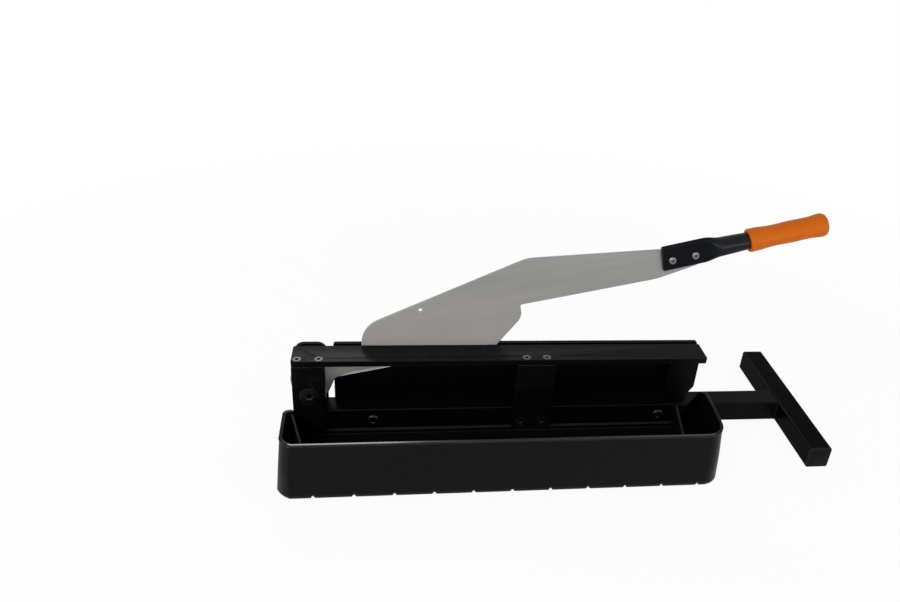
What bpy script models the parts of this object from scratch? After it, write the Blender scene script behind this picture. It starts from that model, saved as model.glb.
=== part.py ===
"""Laminate cutter: a hinged blade arm over a welded tube base, with a loose moulded tray.

The origin is the middle of the beam's underside, +X points along the beam to the cross
foot, +Y points away from the tray and +Z points up. Every length is in metres.
"""
import math

import bmesh
import bpy
from mathutils import Matrix, Vector

# Fits shared by all pieces
seat_gap = 0.0003
overrun = 0.004
same_point = 0.000001
bolt_sides = 18
tube_sides = 24
corner_steps = 4

# Welded base of square tube
tube_side = 0.030
tube_wall = 0.002
tube_corner = 0.0025
beam_length = 0.656
foot_length = 0.230
cap_flange = 0.003
cap_plug_depth = 0.010
cap_edge = 0.0012
cap_edge_share = 0.3
cap_lead = 0.001

# Plates and bars that hold the work
work_height = 0.112
plate_thickness = 0.005
plate_foot = 0.004
plate_edge = 0.0004
plate_corner = 0.003
anvil_length = 0.483
anvil_gap = 0.008
rail_thickness = 0.008
rail_edge = 0.0005
rail_corner = 0.0025
post_thickness = 0.010
post_edge = 0.0006
post_corner = 0.002
pivot_post_width = 0.040
middle_post_width = 0.050
middle_post_x = -0.024
end_post_width = 0.040
end_post_thickness = 0.007
end_post_foot = 0.008
end_post_taper = 0.026
end_post_setback = 0.005
end_post_inset = 0.023
cheek_corner = 0.012

# Bolts through posts, beam and plates
bolt_diameter = 0.008
bolt_head = 0.016
bolt_head_depth = 0.0044
bolt_key = 0.005
bolt_key_depth = 0.0028
bolt_tip = 0.0008
bolt_spare = 0.002
post_bolt_pitch = 0.028
nut_across = 0.013
nut_height = 0.0065
nut_edge = 0.0008
anvil_bolt_inset = 0.050
washer_diameter = 0.016
washer_thickness = 0.0016
rail_screw_diameter = 0.006
rail_screw_head = 0.012
rail_screw_head_depth = 0.0033
rail_screw_key = 0.004
rail_screw_key_depth = 0.0022
rail_screw_length = 0.022
rail_screw_pitch = 0.026

# Pivot of the arm
pivot_diameter = 0.012
pivot_head = 0.024
pivot_head_depth = 0.0065
pivot_key = 0.008
pivot_key_depth = 0.0045
sleeve_diameter = 0.020
bush_diameter = 0.017
pivot_washer_diameter = 0.024
pivot_washer_thickness = 0.002
spring_diameter = 0.025
spring_thickness = 0.0015
spring_rise = 0.0006
pivot_nut_across = 0.019
pivot_nut_height = 0.009
pivot_nut_collar = 0.003
pivot_nut_collar_diameter = 0.0165

# Blade, drawn with the cutting edge level: u runs along the arm, v runs up from the pivot
rest_angle = math.radians(12.0)
blade_thickness = 0.004
blade_side_gap = 0.0005
blade_edge = 0.0005
lug_radius = 0.026
lug_clearance = 0.004
lug_heel = 0.014
lug_fillet = 0.012
edge_drop = 0.002
edge_start = 0.030
edge_corner = 0.008
heel_toe = 0.2387
heel_toe_corner = 0.003
heel_back = 0.2815
heel_corner_drop = 0.0184
heel_corner = 0.020
closed_clearance = 0.0035
notch_corner = 0.003
underside_reach = 0.0128
underside_radius = 0.190
tail_reach = 0.053
tail_low_rise = 0.0122
tail_low_corner = 0.016
tail_rise = 0.0051
tail_high_corner = 0.005
crown_place = 0.2954
crown_height = 0.1181
crown_corner = 0.040
nose_place = 0.0847
nose_height = 0.0642
nose_corner = 0.052
neck_place = 0.0744
neck_corner = 0.008
bevel_height = 0.007
bevel_land = 0.0014
pin_hole_place = 0.1614
pin_hole_height = 0.0724
pin_hole_diameter = 0.0055

# Handle tube, flattened where it laps on the blade, and its grip
handle_place = 0.464
handle_rise = 0.0302
handle_tilt = math.radians(2.4)
handle_diameter = 0.022
handle_wall = 0.002
lap_length = 0.054
lap_width = 0.033
lap_thickness = 0.005
lap_corner = 0.002
swell_length = 0.024
swell_steps = 6
handle_bare = 0.111
grip_length = 0.104
grip_end_wall = 0.008
grip_slack = 0.001
grip_diameter = 0.030
grip_profile_shares = (
    (0.0, 0.90), (0.012, 0.965), (0.16, 0.955), (0.20, 0.925), (0.27, 0.885), (0.40, 0.885),
    (0.55, 0.915), (0.70, 0.895), (0.82, 0.91), (0.91, 0.97), (0.955, 0.955), (0.985, 0.83),
    (1.0, 0.58),
)

# Screws that hold the handle on the blade
handle_screw_diameter = 0.006
handle_screw_head = 0.0105
handle_screw_head_height = 0.0033
handle_screw_key = 0.004
handle_screw_key_depth = 0.002
handle_screw_inset = 0.0131
handle_screw_pitch = 0.0301
handle_screw_drop = 0.0038
handle_nut_across = 0.010
handle_nut_height = 0.005
handle_washer_diameter = 0.012
handle_washer_thickness = 0.0012
button_head_shares = ((1.0, 0.55), (0.70, 0.86), (0.20, 1.0))

# Moulded tray
tray_overhang = 0.002
tray_shortfall = 0.009
tray_flare = 0.0075
tray_height = 0.0836
tray_front = 0.1385
tray_front_flare = 0.003
tray_wall = 0.003
tray_floor = 0.0035
tray_front_corner = 0.020
tray_back_corner = 0.010
tray_edge = 0.004
tray_edge_steps = 3
tray_inner_corner_share = 0.66
tray_rim_height = 0.005
tray_rim_step = 0.0012
tray_rim_round = 0.001
tray_lean_left = 0.057
tray_lean_right = 0.033
tray_lip = 0.009
tray_lip_slope = math.radians(24.0)
tray_sill = 0.004
tray_rib = 0.003
tray_rib_drop = 0.002
tray_rib_end = 0.082
left_rib_front = 0.0243
left_rib_back = 0.0075
right_rib_front = 0.0548
right_rib_back = 0.0470
groove_count = 11
groove_pitch = 0.0472
groove_first = 0.0405
groove_radius = 0.0020

# Places worked out from the sizes above
half_tube = tube_side / 2
beam_end = beam_length / 2
anvil_front = half_tube + seat_gap
anvil_back = anvil_front + plate_thickness
blade_back = anvil_front - blade_side_gap
blade_front = blade_back - blade_thickness
slot_front = blade_front - blade_side_gap
post_back = -half_tube - seat_gap
post_front = post_back - post_thickness
post_top = work_height - rail_thickness - seat_gap
pivot_x = -beam_end + pivot_post_width / 2
pivot_height = tube_side + lug_clearance + lug_radius
arm_underside = work_height + closed_clearance - pivot_height
handle_height = arm_underside + handle_rise
anvil_start = pivot_x + pivot_post_width / 2 + anvil_gap
anvil_end = anvil_start + anvil_length
end_post_x = anvil_end - end_post_inset
foot_x = beam_end + seat_gap + half_tube
tray_back = post_front - seat_gap
tray_left = -beam_end - tray_overhang
tray_right = anvil_end - tray_shortfall
bolt_height = half_tube
bolt_length = anvil_back - post_front + seat_gap * 3 + washer_thickness + nut_height + bolt_spare

finishes = {
    "black_paint": ((0.010, 0.010, 0.012), 0.30, 0.0),
    "black_oxide": ((0.030, 0.030, 0.033), 0.42, 1.0),
    "blade_steel": ((0.62, 0.61, 0.58), 0.34, 1.0),
    "zinc": ((0.60, 0.61, 0.63), 0.30, 1.0),
    "bronze": ((0.52, 0.33, 0.14), 0.38, 1.0),
    "black_plastic": ((0.011, 0.012, 0.015), 0.24, 0.0),
    "orange_plastic": ((0.83, 0.19, 0.012), 0.42, 0.0),
}


def clear_objects():
    """Empty the file of objects before the model is made."""
    for item in list(bpy.data.objects):
        bpy.data.objects.remove(item, do_unlink=True)


def material_for(node, finish):
    """One Principled material for one piece."""
    colour, roughness, metallic = finishes[finish]
    material = bpy.data.materials.new(node + "_" + finish)
    material.use_nodes = True
    shader = material.node_tree.nodes["Principled BSDF"]
    shader.inputs["Base Color"].default_value = (*colour, 1.0)
    shader.inputs["Roughness"].default_value = roughness
    shader.inputs["Metallic"].default_value = metallic
    material.diffuse_color = (*colour, 1.0)
    return material


def add_object(name, shape, parent=None, location=(0, 0, 0), turn=(0, 0, 0)):
    """Turn a bmesh into an object, smooth except at its sharp edges."""
    mesh = bpy.data.meshes.new(name)
    shape.to_mesh(mesh)
    shape.free()
    mesh.shade_smooth()
    mesh.set_sharp_from_angle(angle=math.radians(32.0))
    item = bpy.data.objects.new(name, mesh)
    bpy.context.scene.collection.objects.link(item)
    item.parent = parent
    item.location = location
    item.rotation_euler = turn
    return item


def add_piece(name, finish, shape, parent=None, location=(0, 0, 0), turn=(0, 0, 0)):
    item = add_object(name, shape, parent, location, turn)
    item.data.materials.append(material_for(name, finish))
    return item


def add_copies(name, finish, shape, places, parent=None):
    """One numbered object at each place, all on the same mesh."""
    first = add_piece(name + "_1", finish, shape, parent, places[0])
    for number, place in enumerate(places[1:], 2):
        item = bpy.data.objects.new(f"{name}_{number}", first.data)
        bpy.context.scene.collection.objects.link(item)
        item.parent = parent
        item.location = place


def add_empty(name, parent=None, location=(0, 0, 0), turn=(0, 0, 0)):
    item = bpy.data.objects.new(name, None)
    bpy.context.scene.collection.objects.link(item)
    item.parent = parent
    item.location = location
    item.rotation_euler = turn
    return item


def carve(target, name, shape, operation="DIFFERENCE", parent=None, location=(0, 0, 0), turn=(0, 0, 0)):
    """Cut a hidden shape out of a piece, or join it on."""
    tool = add_object(name, shape, parent, location, turn)
    tool.hide_render = True
    tool.display_type = "WIRE"
    step = target.modifiers.new(name, "BOOLEAN")
    step.operation = operation
    step.solver = "EXACT"
    step.object = tool


def put(plane, u, v, w):
    """Point with u and v in the named plane and w across it."""
    return {"xz": (u, w, v), "yz": (w, u, v), "xy": (u, v, w)}[plane]


def loft(loops, ring=False):
    """Closed skin through loops of equally many points, capped at both ends or joined in a ring."""
    shape = bmesh.new()
    rows = [[shape.verts.new(point) for point in loop] for loop in loops]
    pairs = list(zip(rows, rows[1:]))
    if ring:
        pairs.append((rows[-1], rows[0]))
    else:
        shape.faces.new(rows[0])
        shape.faces.new(rows[-1])
    for low, high in pairs:
        for i in range(len(low)):
            j = (i + 1) % len(low)
            shape.faces.new((low[i], low[j], high[j], high[i]))
    bmesh.ops.recalc_face_normals(shape, faces=shape.faces)
    return shape


def rounded_outline(corners, steps=corner_steps):
    """Closed outline through (u, v, radius) corners, each rounded by an arc tangent to its sides."""
    outline = []
    for i, (u, v, radius) in enumerate(corners):
        here = Vector((u, v))
        back = (Vector(corners[i - 1][:2]) - here).normalized()
        ahead = (Vector(corners[(i + 1) % len(corners)][:2]) - here).normalized()
        half = math.acos(max(-1.0, min(1.0, back.dot(ahead)))) / 2
        centre = here + (back + ahead).normalized() * (radius / math.sin(half))
        first = here + back * (radius / math.tan(half)) - centre
        last = here + ahead * (radius / math.tan(half)) - centre
        sweep = math.atan2(first.x * last.y - first.y * last.x, first.dot(last))
        for k in range(steps + 1):
            outline.append(centre + Matrix.Rotation(sweep * k / steps, 2) @ first)
    return outline


def without_repeats(outline):
    """The same outline with each point once, where two arcs meet end to end."""
    return [point for i, point in enumerate(outline) if (point - outline[i - 1]).length > same_point]


def inset(outline, depth):
    """The outline moved inwards by depth, square to its sides."""
    area = sum(a.x * b.y - b.x * a.y for a, b in zip(outline, outline[1:] + outline[:1]))
    side = math.copysign(1.0, area)
    moved = []
    for i, point in enumerate(outline):
        before = (point - outline[i - 1]).normalized()
        after = (outline[(i + 1) % len(outline)] - point).normalized()
        normal_a = Vector((-before.y, before.x)) * side
        normal_b = Vector((-after.y, after.x)) * side
        mitre = (normal_a + normal_b).normalized()
        moved.append(point + mitre * (depth / max(mitre.dot(normal_a), 0.5)))
    return moved


def slab(outline, plane, start, end, edge):
    """Flat bar or plate: an outline carried from start to end, with both faces' edges broken."""
    outline = without_repeats(outline)
    small = inset(outline, edge)
    steps = ((small, start), (outline, start + edge), (outline, end - edge), (small, end))
    return loft([[put(plane, p.x, p.y, w) for p in loop] for loop, w in steps])


def prism(points, plane, start, end):
    """Plain straight-sided solid on a polygon, for cuts and ribs."""
    return loft([[put(plane, u, v, w) for u, v in points] for w in (start, end)])


def rectangle(left, right, low, high, radius):
    return [(left, low, radius), (right, low, radius), (right, high, radius), (left, high, radius)]


def circle(plane, diameter, w, centre=(0, 0), sides=bolt_sides):
    """Ring of points on a circle."""
    turns = [2 * math.pi * k / sides for k in range(sides)]
    return [put(plane, centre[0] + diameter / 2 * math.cos(t), centre[1] + diameter / 2 * math.sin(t), w)
            for t in turns]


def hexagon(plane, across, w):
    """As many points as circle has, spread over a hexagon of the given width across its flats."""
    points = []
    side = math.pi / 3
    for k in range(bolt_sides):
        turn = 2 * math.pi * k / bolt_sides
        reach = across / 2 / math.cos((turn % side) - side / 2)
        points.append(put(plane, reach * math.cos(turn), reach * math.sin(turn), w))
    return points


def copies(shape, places):
    """One cutting shape that holds the given one once at each place."""
    pattern = bpy.data.meshes.new("pattern")
    shape.to_mesh(pattern)
    shape.free()
    whole = bmesh.new()
    for place in places:
        moved = pattern.copy()
        moved.transform(Matrix.Translation(place))
        whole.from_mesh(moved)
        bpy.data.meshes.remove(moved)
    bpy.data.meshes.remove(pattern)
    return whole


def sunk_bolt(plane, shank, head, head_depth, key, key_depth, length):
    """Countersunk bolt with a hexagon recess: head face at w = 0, tip at w = length."""
    return loft([
        hexagon(plane, key, key_depth),
        hexagon(plane, key, 0),
        circle(plane, head, 0),
        circle(plane, shank, head_depth),
        circle(plane, shank, length - bolt_tip),
        circle(plane, shank - 2 * bolt_tip, length),
    ])


def sunk_hole(plane, shank, head, head_depth, length):
    """The room that a countersunk bolt needs, open at the head."""
    room = 2 * seat_gap
    return loft([
        circle(plane, head + room, -overrun),
        circle(plane, head + room, 0),
        circle(plane, shank + room, head_depth),
        circle(plane, shank + room, length),
    ])


def button_screw(plane, shank, head, head_height, key, key_depth, length):
    """Domed screw with a hexagon recess: underside of the head at w = 0."""
    dome = [circle(plane, head * wide, -head_height * high) for high, wide in button_head_shares]
    return loft([
        hexagon(plane, key, key_depth - head_height),
        hexagon(plane, key, -head_height),
        *dome,
        circle(plane, head, 0),
        circle(plane, shank, 0),
        circle(plane, shank, length - bolt_tip),
        circle(plane, shank - 2 * bolt_tip, length),
    ])


def nut(plane, across, bore, height):
    """Plain hexagon nut from w = 0 to w = height, with the corners of its outer face turned down."""
    return loft([
        circle(plane, bore, 0),
        hexagon(plane, across, 0),
        hexagon(plane, across, height - nut_edge),
        circle(plane, across, height),
        circle(plane, bore, height),
    ], ring=True)


def washer(plane, outer, bore, thickness, rise=0.0):
    """Flat washer, or a dished one whose bore stands up by rise."""
    return loft([
        circle(plane, outer, 0),
        circle(plane, outer, thickness),
        circle(plane, bore, thickness + rise),
        circle(plane, bore, rise),
    ], ring=True)


def rod(plane, diameter, start, end, centre=(0, 0)):
    return loft([circle(plane, diameter, start, centre), circle(plane, diameter, end, centre)])


def square_tube(plane, start, end):
    """Square hollow section from start to end along w, open at both ends."""
    inside = half_tube - tube_wall
    outer = rounded_outline(rectangle(-half_tube, half_tube, -half_tube, half_tube, tube_corner))
    inner = rounded_outline(rectangle(-inside, inside, -inside, inside, tube_corner - tube_wall))
    steps = ((outer, start), (outer, end), (inner, end), (inner, start))
    return loft([[put(plane, p.x, p.y, w) for p in loop] for loop, w in steps], ring=True)


def tube_cap():
    """Plug for a square tube, facing -Y, with its flange's back face at the origin."""
    plug = half_tube - tube_wall - seat_gap
    flange = rounded_outline(rectangle(-half_tube, half_tube, -half_tube, half_tube, tube_corner))
    stem = rounded_outline(rectangle(-plug, plug, -plug, plug, tube_corner))
    steps = (
        (inset(flange, cap_edge), -cap_flange),
        (inset(flange, cap_edge * cap_edge_share), cap_edge * cap_edge_share - cap_flange),
        (flange, cap_edge - cap_flange),
        (flange, 0),
        (stem, 0),
        (stem, cap_plug_depth - cap_lead),
        (inset(stem, cap_lead), cap_plug_depth),
    )
    return loft([[put("xz", p.x, p.y, w) for p in loop] for loop, w in steps])


def make_base():
    """Beam and cross foot in a T, with plugs in the three open ends."""
    cap_room = cap_flange + seat_gap
    beam = add_piece("beam", "black_paint", square_tube("yz", cap_room - beam_end, beam_end),
                     location=(0, 0, half_tube))
    half_foot = foot_length / 2 - cap_room
    add_piece("cross_foot", "black_paint", square_tube("xz", -half_foot, half_foot),
              location=(foot_x, 0, half_tube))
    cap_places = (
        ("foot_cap_front", (foot_x, -half_foot - seat_gap, half_tube), 0),
        ("foot_cap_rear", (foot_x, half_foot + seat_gap, half_tube), math.pi),
        ("beam_cap", (cap_flange - beam_end, 0, half_tube), -math.pi / 2),
    )
    for name, place, turn in cap_places:
        add_piece(name, "black_plastic", tube_cap(), location=place, turn=(0, 0, turn))
    return beam


def post_shape(width):
    """Flat bar that stands on the ground in front of the beam and carries the rail."""
    outline = rounded_outline(rectangle(-width / 2, width / 2, 0, post_top, post_corner))
    return slab(outline, "xz", post_front, post_back, post_edge)


def end_post_shape():
    """Bar on the beam's top with a narrow tapered foot."""
    foot = end_post_foot / 2
    side = end_post_width / 2
    low = tube_side + seat_gap
    corners = [
        (-foot, low, post_edge), (foot, low, post_edge),
        (side, low + end_post_taper, post_corner), (side, post_top, post_corner),
        (-side, post_top, post_corner), (-side, low + end_post_taper, post_corner),
    ]
    front = end_post_setback - half_tube
    return slab(rounded_outline(corners), "xz", front, front + end_post_thickness, post_edge)


def make_frame(beam):
    """Posts, rail, anvil plate and pivot cheek, drilled for their bolts."""
    pivot_post = add_piece("pivot_post", "black_paint", post_shape(pivot_post_width),
                           location=(pivot_x, 0, 0))
    middle_post = add_piece("middle_post", "black_paint", post_shape(middle_post_width),
                            location=(middle_post_x, 0, 0))
    add_piece("end_post", "black_paint", end_post_shape(), location=(end_post_x, 0, 0))

    rail_low = work_height - rail_thickness
    rail_plan = rounded_outline(rectangle(-beam_end, anvil_end, post_front, slot_front, rail_corner))
    rail = add_piece("front_rail", "black_paint", slab(rail_plan, "xy", rail_low, work_height, rail_edge))

    anvil_face = rounded_outline(rectangle(anvil_start, anvil_end, plate_foot, work_height, plate_corner))
    anvil = add_piece("anvil_plate", "black_paint",
                      slab(anvil_face, "xz", anvil_front, anvil_back, plate_edge))

    half_cheek = pivot_post_width / 2
    cheek_face = rounded_outline([
        (-half_cheek, plate_foot, plate_corner), (half_cheek, plate_foot, plate_corner),
        (half_cheek, work_height, cheek_corner), (-half_cheek, work_height, cheek_corner),
    ])
    cheek = add_piece("pivot_cheek", "black_paint",
                      slab(cheek_face, "xz", anvil_front, anvil_back, plate_edge), location=(pivot_x, 0, 0))

    middle_bolts = [middle_post_x - post_bolt_pitch / 2, middle_post_x + post_bolt_pitch / 2]
    anvil_bolts = [anvil_start + anvil_bolt_inset, anvil_end - anvil_bolt_inset]
    long_bolts = [pivot_x] + middle_bolts
    bolt_room = bolt_diameter + 2 * seat_gap
    hole = bolt_length + overrun

    def sunk_rows(places):
        shape = sunk_hole("xz", bolt_diameter, bolt_head, bolt_head_depth, hole)
        return copies(shape, [(x, post_front, bolt_height) for x in places])

    def plain_rows(places, start, end):
        shape = rod("xz", bolt_room, start - overrun, end + overrun)
        return copies(shape, [(x, 0, bolt_height) for x in places])

    carve(pivot_post, "pivot_post_bolt_hole", sunk_rows([pivot_x]))
    carve(middle_post, "middle_post_bolt_holes", sunk_rows(middle_bolts))
    carve(beam, "beam_bolt_holes", plain_rows(long_bolts + anvil_bolts, -half_tube, half_tube))
    carve(anvil, "anvil_bolt_holes", plain_rows(middle_bolts + anvil_bolts, anvil_front, anvil_back))
    carve(cheek, "cheek_bolt_hole", plain_rows([pivot_x], anvil_front, anvil_back))

    long_bolt = sunk_bolt("xz", bolt_diameter, bolt_head, bolt_head_depth, bolt_key, bolt_key_depth,
                          bolt_length)
    add_copies("post_bolt", "black_oxide", long_bolt, [(x, post_front, bolt_height) for x in long_bolts])

    short_length = bolt_length - post_thickness
    short_bolt = button_screw("xz", bolt_diameter, bolt_head, bolt_head_depth, bolt_key, bolt_key_depth,
                              short_length)
    add_copies("anvil_bolt", "black_oxide", short_bolt, [(x, post_back, bolt_height) for x in anvil_bolts])

    washer_start = anvil_back + seat_gap
    nut_start = washer_start + washer_thickness + seat_gap
    rear_places = long_bolts + anvil_bolts
    ring = washer("xz", washer_diameter, bolt_room, washer_thickness)
    add_copies("bolt_washer", "zinc", ring, [(x, washer_start, bolt_height) for x in rear_places])
    hex_nut = nut("xz", nut_across, bolt_room, nut_height)
    add_copies("bolt_nut", "zinc", hex_nut, [(x, nut_start, bolt_height) for x in rear_places])

    post_middle = (post_front + post_back) / 2
    half_pitch = rail_screw_pitch / 2
    pivot_screws = [(pivot_x + side * half_pitch, post_middle) for side in (-1, 1)]
    middle_screws = [(middle_post_x + side * half_pitch, post_middle) for side in (-1, 1)]

    def screw_rows(places):
        shape = sunk_hole("xy", rail_screw_diameter, rail_screw_head, rail_screw_head_depth,
                          rail_screw_length + seat_gap)
        bmesh.ops.scale(shape, verts=shape.verts, vec=(1, -1, -1))
        return copies(shape, [(x, y, work_height) for x, y in places])

    carve(rail, "rail_screw_holes", screw_rows(pivot_screws + middle_screws))
    carve(pivot_post, "pivot_post_screw_holes", screw_rows(pivot_screws))
    carve(middle_post, "middle_post_screw_holes", screw_rows(middle_screws))
    screw = sunk_bolt("xy", rail_screw_diameter, rail_screw_head, rail_screw_head_depth, rail_screw_key,
                      rail_screw_key_depth, rail_screw_length)
    bmesh.ops.scale(screw, verts=screw.verts, vec=(1, -1, -1))
    screw_places = [(x, y, work_height) for x, y in pivot_screws + middle_screws]
    add_copies("rail_screw", "black_oxide", screw, screw_places)
    return pivot_post, cheek


def make_pivot(pivot_post, cheek):
    """Countersunk bolt from the post through sleeve, bush and cheek, with dished springs under its nut."""
    at_pivot = (pivot_x, 0, pivot_height)
    room = pivot_diameter + 2 * seat_gap
    first_washer = anvil_back + seat_gap
    first_spring = first_washer + pivot_washer_thickness + seat_gap
    spring_depth = spring_thickness + spring_rise
    second_spring = first_spring + spring_depth + seat_gap
    nut_start = second_spring + spring_depth + seat_gap
    nut_depth = pivot_nut_height + pivot_nut_collar
    bolt_end = nut_start + nut_depth + bolt_spare

    bolt = sunk_bolt("xz", pivot_diameter, pivot_head, pivot_head_depth, pivot_key, pivot_key_depth,
                     bolt_end - post_front)
    add_piece("pivot_bolt", "black_oxide", bolt, location=(pivot_x, post_front, pivot_height))
    post_hole = sunk_hole("xz", pivot_diameter, pivot_head, pivot_head_depth, post_thickness + overrun)
    carve(pivot_post, "pivot_post_pivot_hole", post_hole, location=(pivot_x, post_front, pivot_height))
    carve(cheek, "cheek_pivot_hole", rod("xz", room, anvil_front - overrun, anvil_back + overrun),
          location=at_pivot)

    sleeve_length = slot_front - post_back - seat_gap
    add_piece("pivot_sleeve", "zinc", washer("xz", sleeve_diameter, room, sleeve_length),
              location=(pivot_x, post_back + seat_gap, pivot_height))
    add_piece("pivot_washer", "zinc", washer("xz", pivot_washer_diameter, room, pivot_washer_thickness),
              location=(pivot_x, first_washer, pivot_height))

    spring = washer("xz", spring_diameter, room, spring_thickness, spring_rise)
    add_piece("disc_spring_1", "blade_steel", spring, location=(pivot_x, first_spring, pivot_height))
    spring = washer("xz", spring_diameter, room, spring_thickness, spring_rise)
    add_piece("disc_spring_2", "blade_steel", spring, turn=(0, 0, math.pi),
              location=(pivot_x, second_spring + spring_depth, pivot_height))

    lock_nut = loft([
        circle("xz", room, 0),
        hexagon("xz", pivot_nut_across, 0),
        hexagon("xz", pivot_nut_across, pivot_nut_height - nut_edge),
        circle("xz", pivot_nut_across, pivot_nut_height),
        circle("xz", pivot_nut_collar_diameter, pivot_nut_height),
        circle("xz", pivot_nut_collar_diameter, nut_depth - nut_edge),
        circle("xz", pivot_nut_collar_diameter - 2 * nut_edge, nut_depth),
        circle("xz", room, nut_depth),
    ], ring=True)
    add_piece("pivot_nut", "zinc", lock_nut, location=(pivot_x, nut_start, pivot_height))


def blade_outline():
    """Lug, neck, rounded nose, crown, tail, level underside, rounded heel and straight cutting edge."""
    tail_end = handle_place + tail_reach
    return rounded_outline([
        (-lug_radius, -lug_radius, lug_radius),
        (-lug_radius, lug_radius, lug_radius),
        (neck_place, lug_radius, neck_corner),
        (nose_place, nose_height, nose_corner),
        (crown_place, crown_height, crown_corner),
        (tail_end, handle_height + tail_rise, tail_high_corner),
        (tail_end, arm_underside + tail_low_rise, tail_low_corner),
        (handle_place + underside_reach, arm_underside, underside_radius),
        (heel_back, arm_underside, notch_corner),
        (heel_back, arm_underside - heel_corner_drop, heel_corner),
        (heel_toe, -edge_drop, heel_toe_corner),
        (edge_start, -edge_drop, edge_corner),
        (lug_heel, -lug_radius, lug_fillet),
    ], steps=8)


def make_blade(arm, handle):
    """Steel plate with one ground bevel, a bushed pivot eye and a small locking hole."""
    blade = add_piece("blade", "blade_steel",
                      slab(blade_outline(), "xz", blade_front, blade_back, blade_edge), parent=arm)
    bush_stand = blade_side_gap - seat_gap
    room = pivot_diameter + 2 * seat_gap
    carve(blade, "blade_bush_hole", rod("xz", bush_diameter + 2 * seat_gap, blade_front - overrun,
                                        blade_back + overrun), parent=arm)
    add_piece("pivot_bush", "bronze",
              washer("xz", bush_diameter, room, blade_thickness + 2 * bush_stand),
              parent=arm, location=(0, blade_front - bush_stand, 0))
    pin_hole = rod("xz", pin_hole_diameter, blade_front - overrun, blade_back + overrun,
                   (pin_hole_place, pin_hole_height))
    carve(blade, "blade_pin_hole", pin_hole, parent=arm)

    slope = (blade_thickness - bevel_land) / bevel_height
    low = -edge_drop - overrun
    high = bevel_height - edge_drop
    deep = blade_front + slope * (bevel_height + overrun)
    wedge = prism([(blade_front - overrun, low), (deep, low), (blade_front, high),
                   (blade_front - overrun, high + overrun)],
                  "yz", edge_start + lug_fillet, heel_toe + overrun)
    carve(blade, "blade_bevel", wedge, parent=arm)

    screw_room = handle_screw_diameter + 2 * seat_gap
    through = blade_back + overrun
    holes = copies(rod("xz", screw_room, -through, through), handle_screw_places(0))
    carve(blade, "blade_screw_holes", holes, parent=handle)
    return blade


def handle_screw_places(across):
    """Places of the two screws along the handle, at one depth across it."""
    return [(handle_screw_inset + k * handle_screw_pitch, across, -handle_screw_drop) for k in (0, 1)]


def tube_section(half_width, half_thickness, along):
    """Two half circles joined by flats: a full circle where both halves are alike."""
    flat = half_width - half_thickness
    points = []
    for k in range(tube_sides):
        turn = 2 * math.pi * (k + 0.5) / tube_sides
        up = math.copysign(flat, math.sin(turn)) + half_thickness * math.sin(turn)
        points.append(put("yz", half_thickness * math.cos(turn), up, along))
    return points


def make_handle(handle):
    """Round tube pressed flat at one end, its grip, and the screws that hold it on the blade."""
    radius = handle_diameter / 2
    stations = [(0, lap_width / 2 - lap_corner, lap_thickness / 2),
                (lap_corner, lap_width / 2, lap_thickness / 2)]
    for k in range(swell_steps + 1):
        share = k / swell_steps
        blend = share * share * (3 - 2 * share)
        stations.append((lap_length + swell_length * share,
                         lap_width / 2 + (radius - lap_width / 2) * blend,
                         lap_thickness / 2 + (radius - lap_thickness / 2) * blend))
    bore_depth = grip_length - grip_end_wall
    tube_end = handle_bare + bore_depth - grip_slack
    stations.append((tube_end, radius, radius))
    outer = [tube_section(wide, thick, along) for along, wide, thick in stations]
    inner = [tube_section(wide - handle_wall, thick - handle_wall, along)
             for along, wide, thick in stations]
    tube = add_piece("handle_tube", "black_paint", loft(outer + inner[::-1], ring=True), parent=handle)

    bore = handle_diameter + 2 * seat_gap
    profile = [circle("yz", grip_diameter * wide, handle_bare + grip_length * along, sides=tube_sides)
               for along, wide in grip_profile_shares]
    hollow = [circle("yz", bore, handle_bare + along, sides=tube_sides) for along in (bore_depth, 0)]
    add_piece("grip", "orange_plastic", loft(hollow + profile), parent=handle)

    screw_room = handle_screw_diameter + 2 * seat_gap
    front = -lap_thickness / 2 - seat_gap
    washer_start = lap_thickness / 2 + seat_gap + blade_thickness + seat_gap
    nut_start = washer_start + handle_washer_thickness + seat_gap
    length = nut_start + handle_nut_height + bolt_spare / 2 - front
    holes = copies(rod("xz", screw_room, front - overrun, overrun - front), handle_screw_places(0))
    carve(tube, "handle_screw_holes", holes, parent=handle)
    screw = button_screw("xz", handle_screw_diameter, handle_screw_head, handle_screw_head_height,
                         handle_screw_key, handle_screw_key_depth, length)
    add_copies("handle_screw", "zinc", screw, handle_screw_places(front), handle)
    ring = washer("xz", handle_washer_diameter, screw_room, handle_washer_thickness)
    add_copies("handle_washer", "zinc", ring, handle_screw_places(washer_start), handle)
    hex_nut = nut("xz", handle_nut_across, screw_room, handle_nut_height)
    add_copies("handle_nut", "zinc", hex_nut, handle_screw_places(nut_start), handle)


def tray_loop(height, side, front_radius, back_radius):
    """Plan of the tray at one height, moved inwards by side.

    Its ends and front spread a little downwards, and its back leans in towards the top.
    """
    up = height / tray_height
    lean = max(height - tray_edge, 0) / (tray_height - tray_edge)
    left = tray_left - tray_flare * (1 - up) + side
    right = tray_right + tray_flare * (1 - up) - side
    front = side - tray_front - tray_front_flare * (1 - up)
    left_back = tray_back - tray_lean_left * lean - side
    right_back = tray_back - tray_lean_right * lean - side
    corners = [
        (left, front, front_radius), (right, front, front_radius),
        (right, right_back, back_radius), (left, left_back, back_radius),
    ]
    return [put("xy", p.x, p.y, height) for p in rounded_outline(corners)]


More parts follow.
